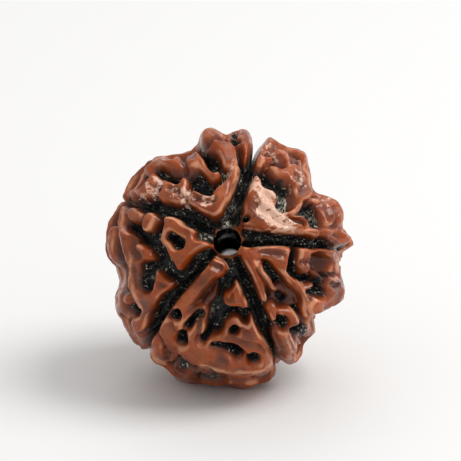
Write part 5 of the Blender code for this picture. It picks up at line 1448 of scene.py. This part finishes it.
def stone_finish():
    """The skin over the dark ground, by the marks on the points, under a thin coat of oil."""
    material = bpy.data.materials.new("oiled_seed_stone_fine")
    material.use_nodes = True
    tree = material.node_tree
    shader = tree.nodes["Principled BSDF"]
    dark = dark_ground(tree)
    ground, speckle = use_speckle(tree, GROUND_BLACK, FIBRE_GLINT)
    colour = blend_colour(tree, dark, skin_colour(tree), ground_colour(tree, ground))
    # The hole's wall is painted black for the shade deep inside it.
    colour = blend_colour(tree, mark(tree, "bore"), colour, BORE_SHADE_BLACK)
    tree.links.new(colour, shader.inputs["Base Color"])
    tree.links.new(stone_roughness(tree, dark), shader.inputs["Roughness"])
    gloss = mark(tree, "gloss")
    # The plain value stands for the linked one where an export drops the link.
    shader.inputs["Specular IOR Level"].default_value = SPECULAR_LEVEL
    tree.links.new(times(tree, gloss, SPECULAR_LEVEL), shader.inputs["Specular IOR Level"])
    tree.links.new(times(tree, gloss, COAT_WEIGHT), shader.inputs["Coat Weight"])
    shader.inputs["Coat Roughness"].default_value = COAT_ROUGHNESS
    bump = node(tree, "ShaderNodeBump", Strength=BUMP_STRENGTH, Distance=1.0)
    tree.links.new(stone_height(tree, dark, speckle), bump.inputs["Height"])
    tree.links.new(bump.outputs["Normal"], shader.inputs["Normal"])
    return material


stone.data.materials.clear()
stone.data.materials.append(stone_finish())
print("finish:", stone.data.materials[0].name)

# %% The fibres' finish
HAIR_BLACK = (0.012, 0.010, 0.009, 1.0)
# Painted glints on the hairs.
HAIR_GLINT = (0.48, 0.42, 0.32, 1.0)
HAIR_ROUGHNESS = 0.38


def fibre_finish():
    """Dark brown-black hairs with painted glints here and there, and a dull shine."""
    material = bpy.data.materials.new("recess_fibre")
    material.use_nodes = True
    tree = material.node_tree
    shader = tree.nodes["Principled BSDF"]
    colour, _ = use_speckle(tree, HAIR_BLACK, HAIR_GLINT)
    tree.links.new(colour, shader.inputs["Base Color"])
    shader.inputs["Roughness"].default_value = HAIR_ROUGHNESS
    return material


fibres.data.materials.append(fibre_finish())

# %% [markdown]
# The studio is a pale table that fills the view, a broad soft lamp high up to the right, which throws a
# soft shadow to the left, a weaker one behind, and white light from all round.

# %% The table
TABLE_SIZE = 3.0
TABLE_COLOUR = (0.75, 0.745, 0.735, 1.0)
TABLE_ROUGHNESS = 0.6


def pale_table():
    """A flat square, a little off white and matt."""
    half = TABLE_SIZE / 2.0
    mesh = bpy.data.meshes.new("table_top")
    corners = [(-half, -half, 0.0), (half, -half, 0.0), (half, half, 0.0), (-half, half, 0.0)]
    mesh.from_pydata(corners, [], [(0, 1, 2, 3)])
    material = bpy.data.materials.new("matt_white")
    material.use_nodes = True
    shader = material.node_tree.nodes["Principled BSDF"]
    shader.inputs["Base Color"].default_value = TABLE_COLOUR
    shader.inputs["Roughness"].default_value = TABLE_ROUGHNESS
    mesh.materials.append(material)
    return link("table_top", mesh)


table_top = pale_table()

# %% The lamps and the light from all round
STONE_MIDDLE = Vector((stone_shift * METRES).tolist())
# Name, place and size in metres, and power in watts.
LAMPS = [
    ("main_lamp", (0.31, 0.01, 0.45), 0.30, 2.15),
    ("back_lamp", (-0.05, 0.35, 0.45), 0.35, 0.4),
]
SKY_WHITE = (1.0, 1.0, 1.0, 1.0)
SKY_STRENGTH = 0.68


def soft_lamp(name, place, size, power):
    """A square lamp that faces the stone."""
    lamp = bpy.data.lights.new(name, "AREA")
    lamp.size = size
    lamp.energy = power
    thing = bpy.data.objects.new(name, lamp)
    bpy.context.collection.objects.link(thing)
    thing.location = place
    thing.rotation_euler = (Vector(place) - STONE_MIDDLE).to_track_quat("Z", "Y").to_euler()


for lamp_values in LAMPS:
    soft_lamp(*lamp_values)

world = bpy.data.worlds.new("studio")
world.use_nodes = True
background = world.node_tree.nodes["Background"]
background.inputs["Color"].default_value = SKY_WHITE
background.inputs["Strength"].default_value = SKY_STRENGTH
bpy.context.scene.world = world
bpy.context.scene.view_settings.view_transform = "Standard"
print("two lamps and an even sky")

# %% [markdown]
# The camera looks from a little above the horizon, from far off through a long lens, so that the stone is
# drawn almost without perspective. It is aimed at the stone's middle, and a small shift places that in the
# picture.

# %% The camera
CAMERA_DISTANCE = 0.4
PICTURE_WIDTH = 0.0461
SENSOR_WIDTH = 36.0
PICTURE_PIXELS = 461
MIDDLE_PIXEL = (230.0, 258.0)


def long_lens():
    """A camera whose picture is 46.1 mm wide at the stone, looking along the plan's facing."""
    camera = bpy.data.cameras.new("long_lens")
    camera.sensor_width = SENSOR_WIDTH
    camera.lens = SENSOR_WIDTH * CAMERA_DISTANCE / PICTURE_WIDTH
    half = PICTURE_PIXELS / 2.0
    camera.shift_x = (half - MIDDLE_PIXEL[0]) / PICTURE_PIXELS
    camera.shift_y = (MIDDLE_PIXEL[1] - half) / PICTURE_PIXELS
    thing = bpy.data.objects.new("long_lens", camera)
    bpy.context.collection.objects.link(thing)
    back = Vector(plan_axes()[2])
    thing.location = STONE_MIDDLE + back * CAMERA_DISTANCE
    thing.rotation_euler = back.to_track_quat("Z", "Y").to_euler()
    return thing


bpy.context.scene.camera = long_lens()
print("camera at", tuple(round(v, 3) for v in bpy.context.scene.camera.location))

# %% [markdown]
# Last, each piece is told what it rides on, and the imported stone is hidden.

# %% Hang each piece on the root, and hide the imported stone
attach(stone, "root")
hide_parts("rudraksha_seed")
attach(fibres, "root")
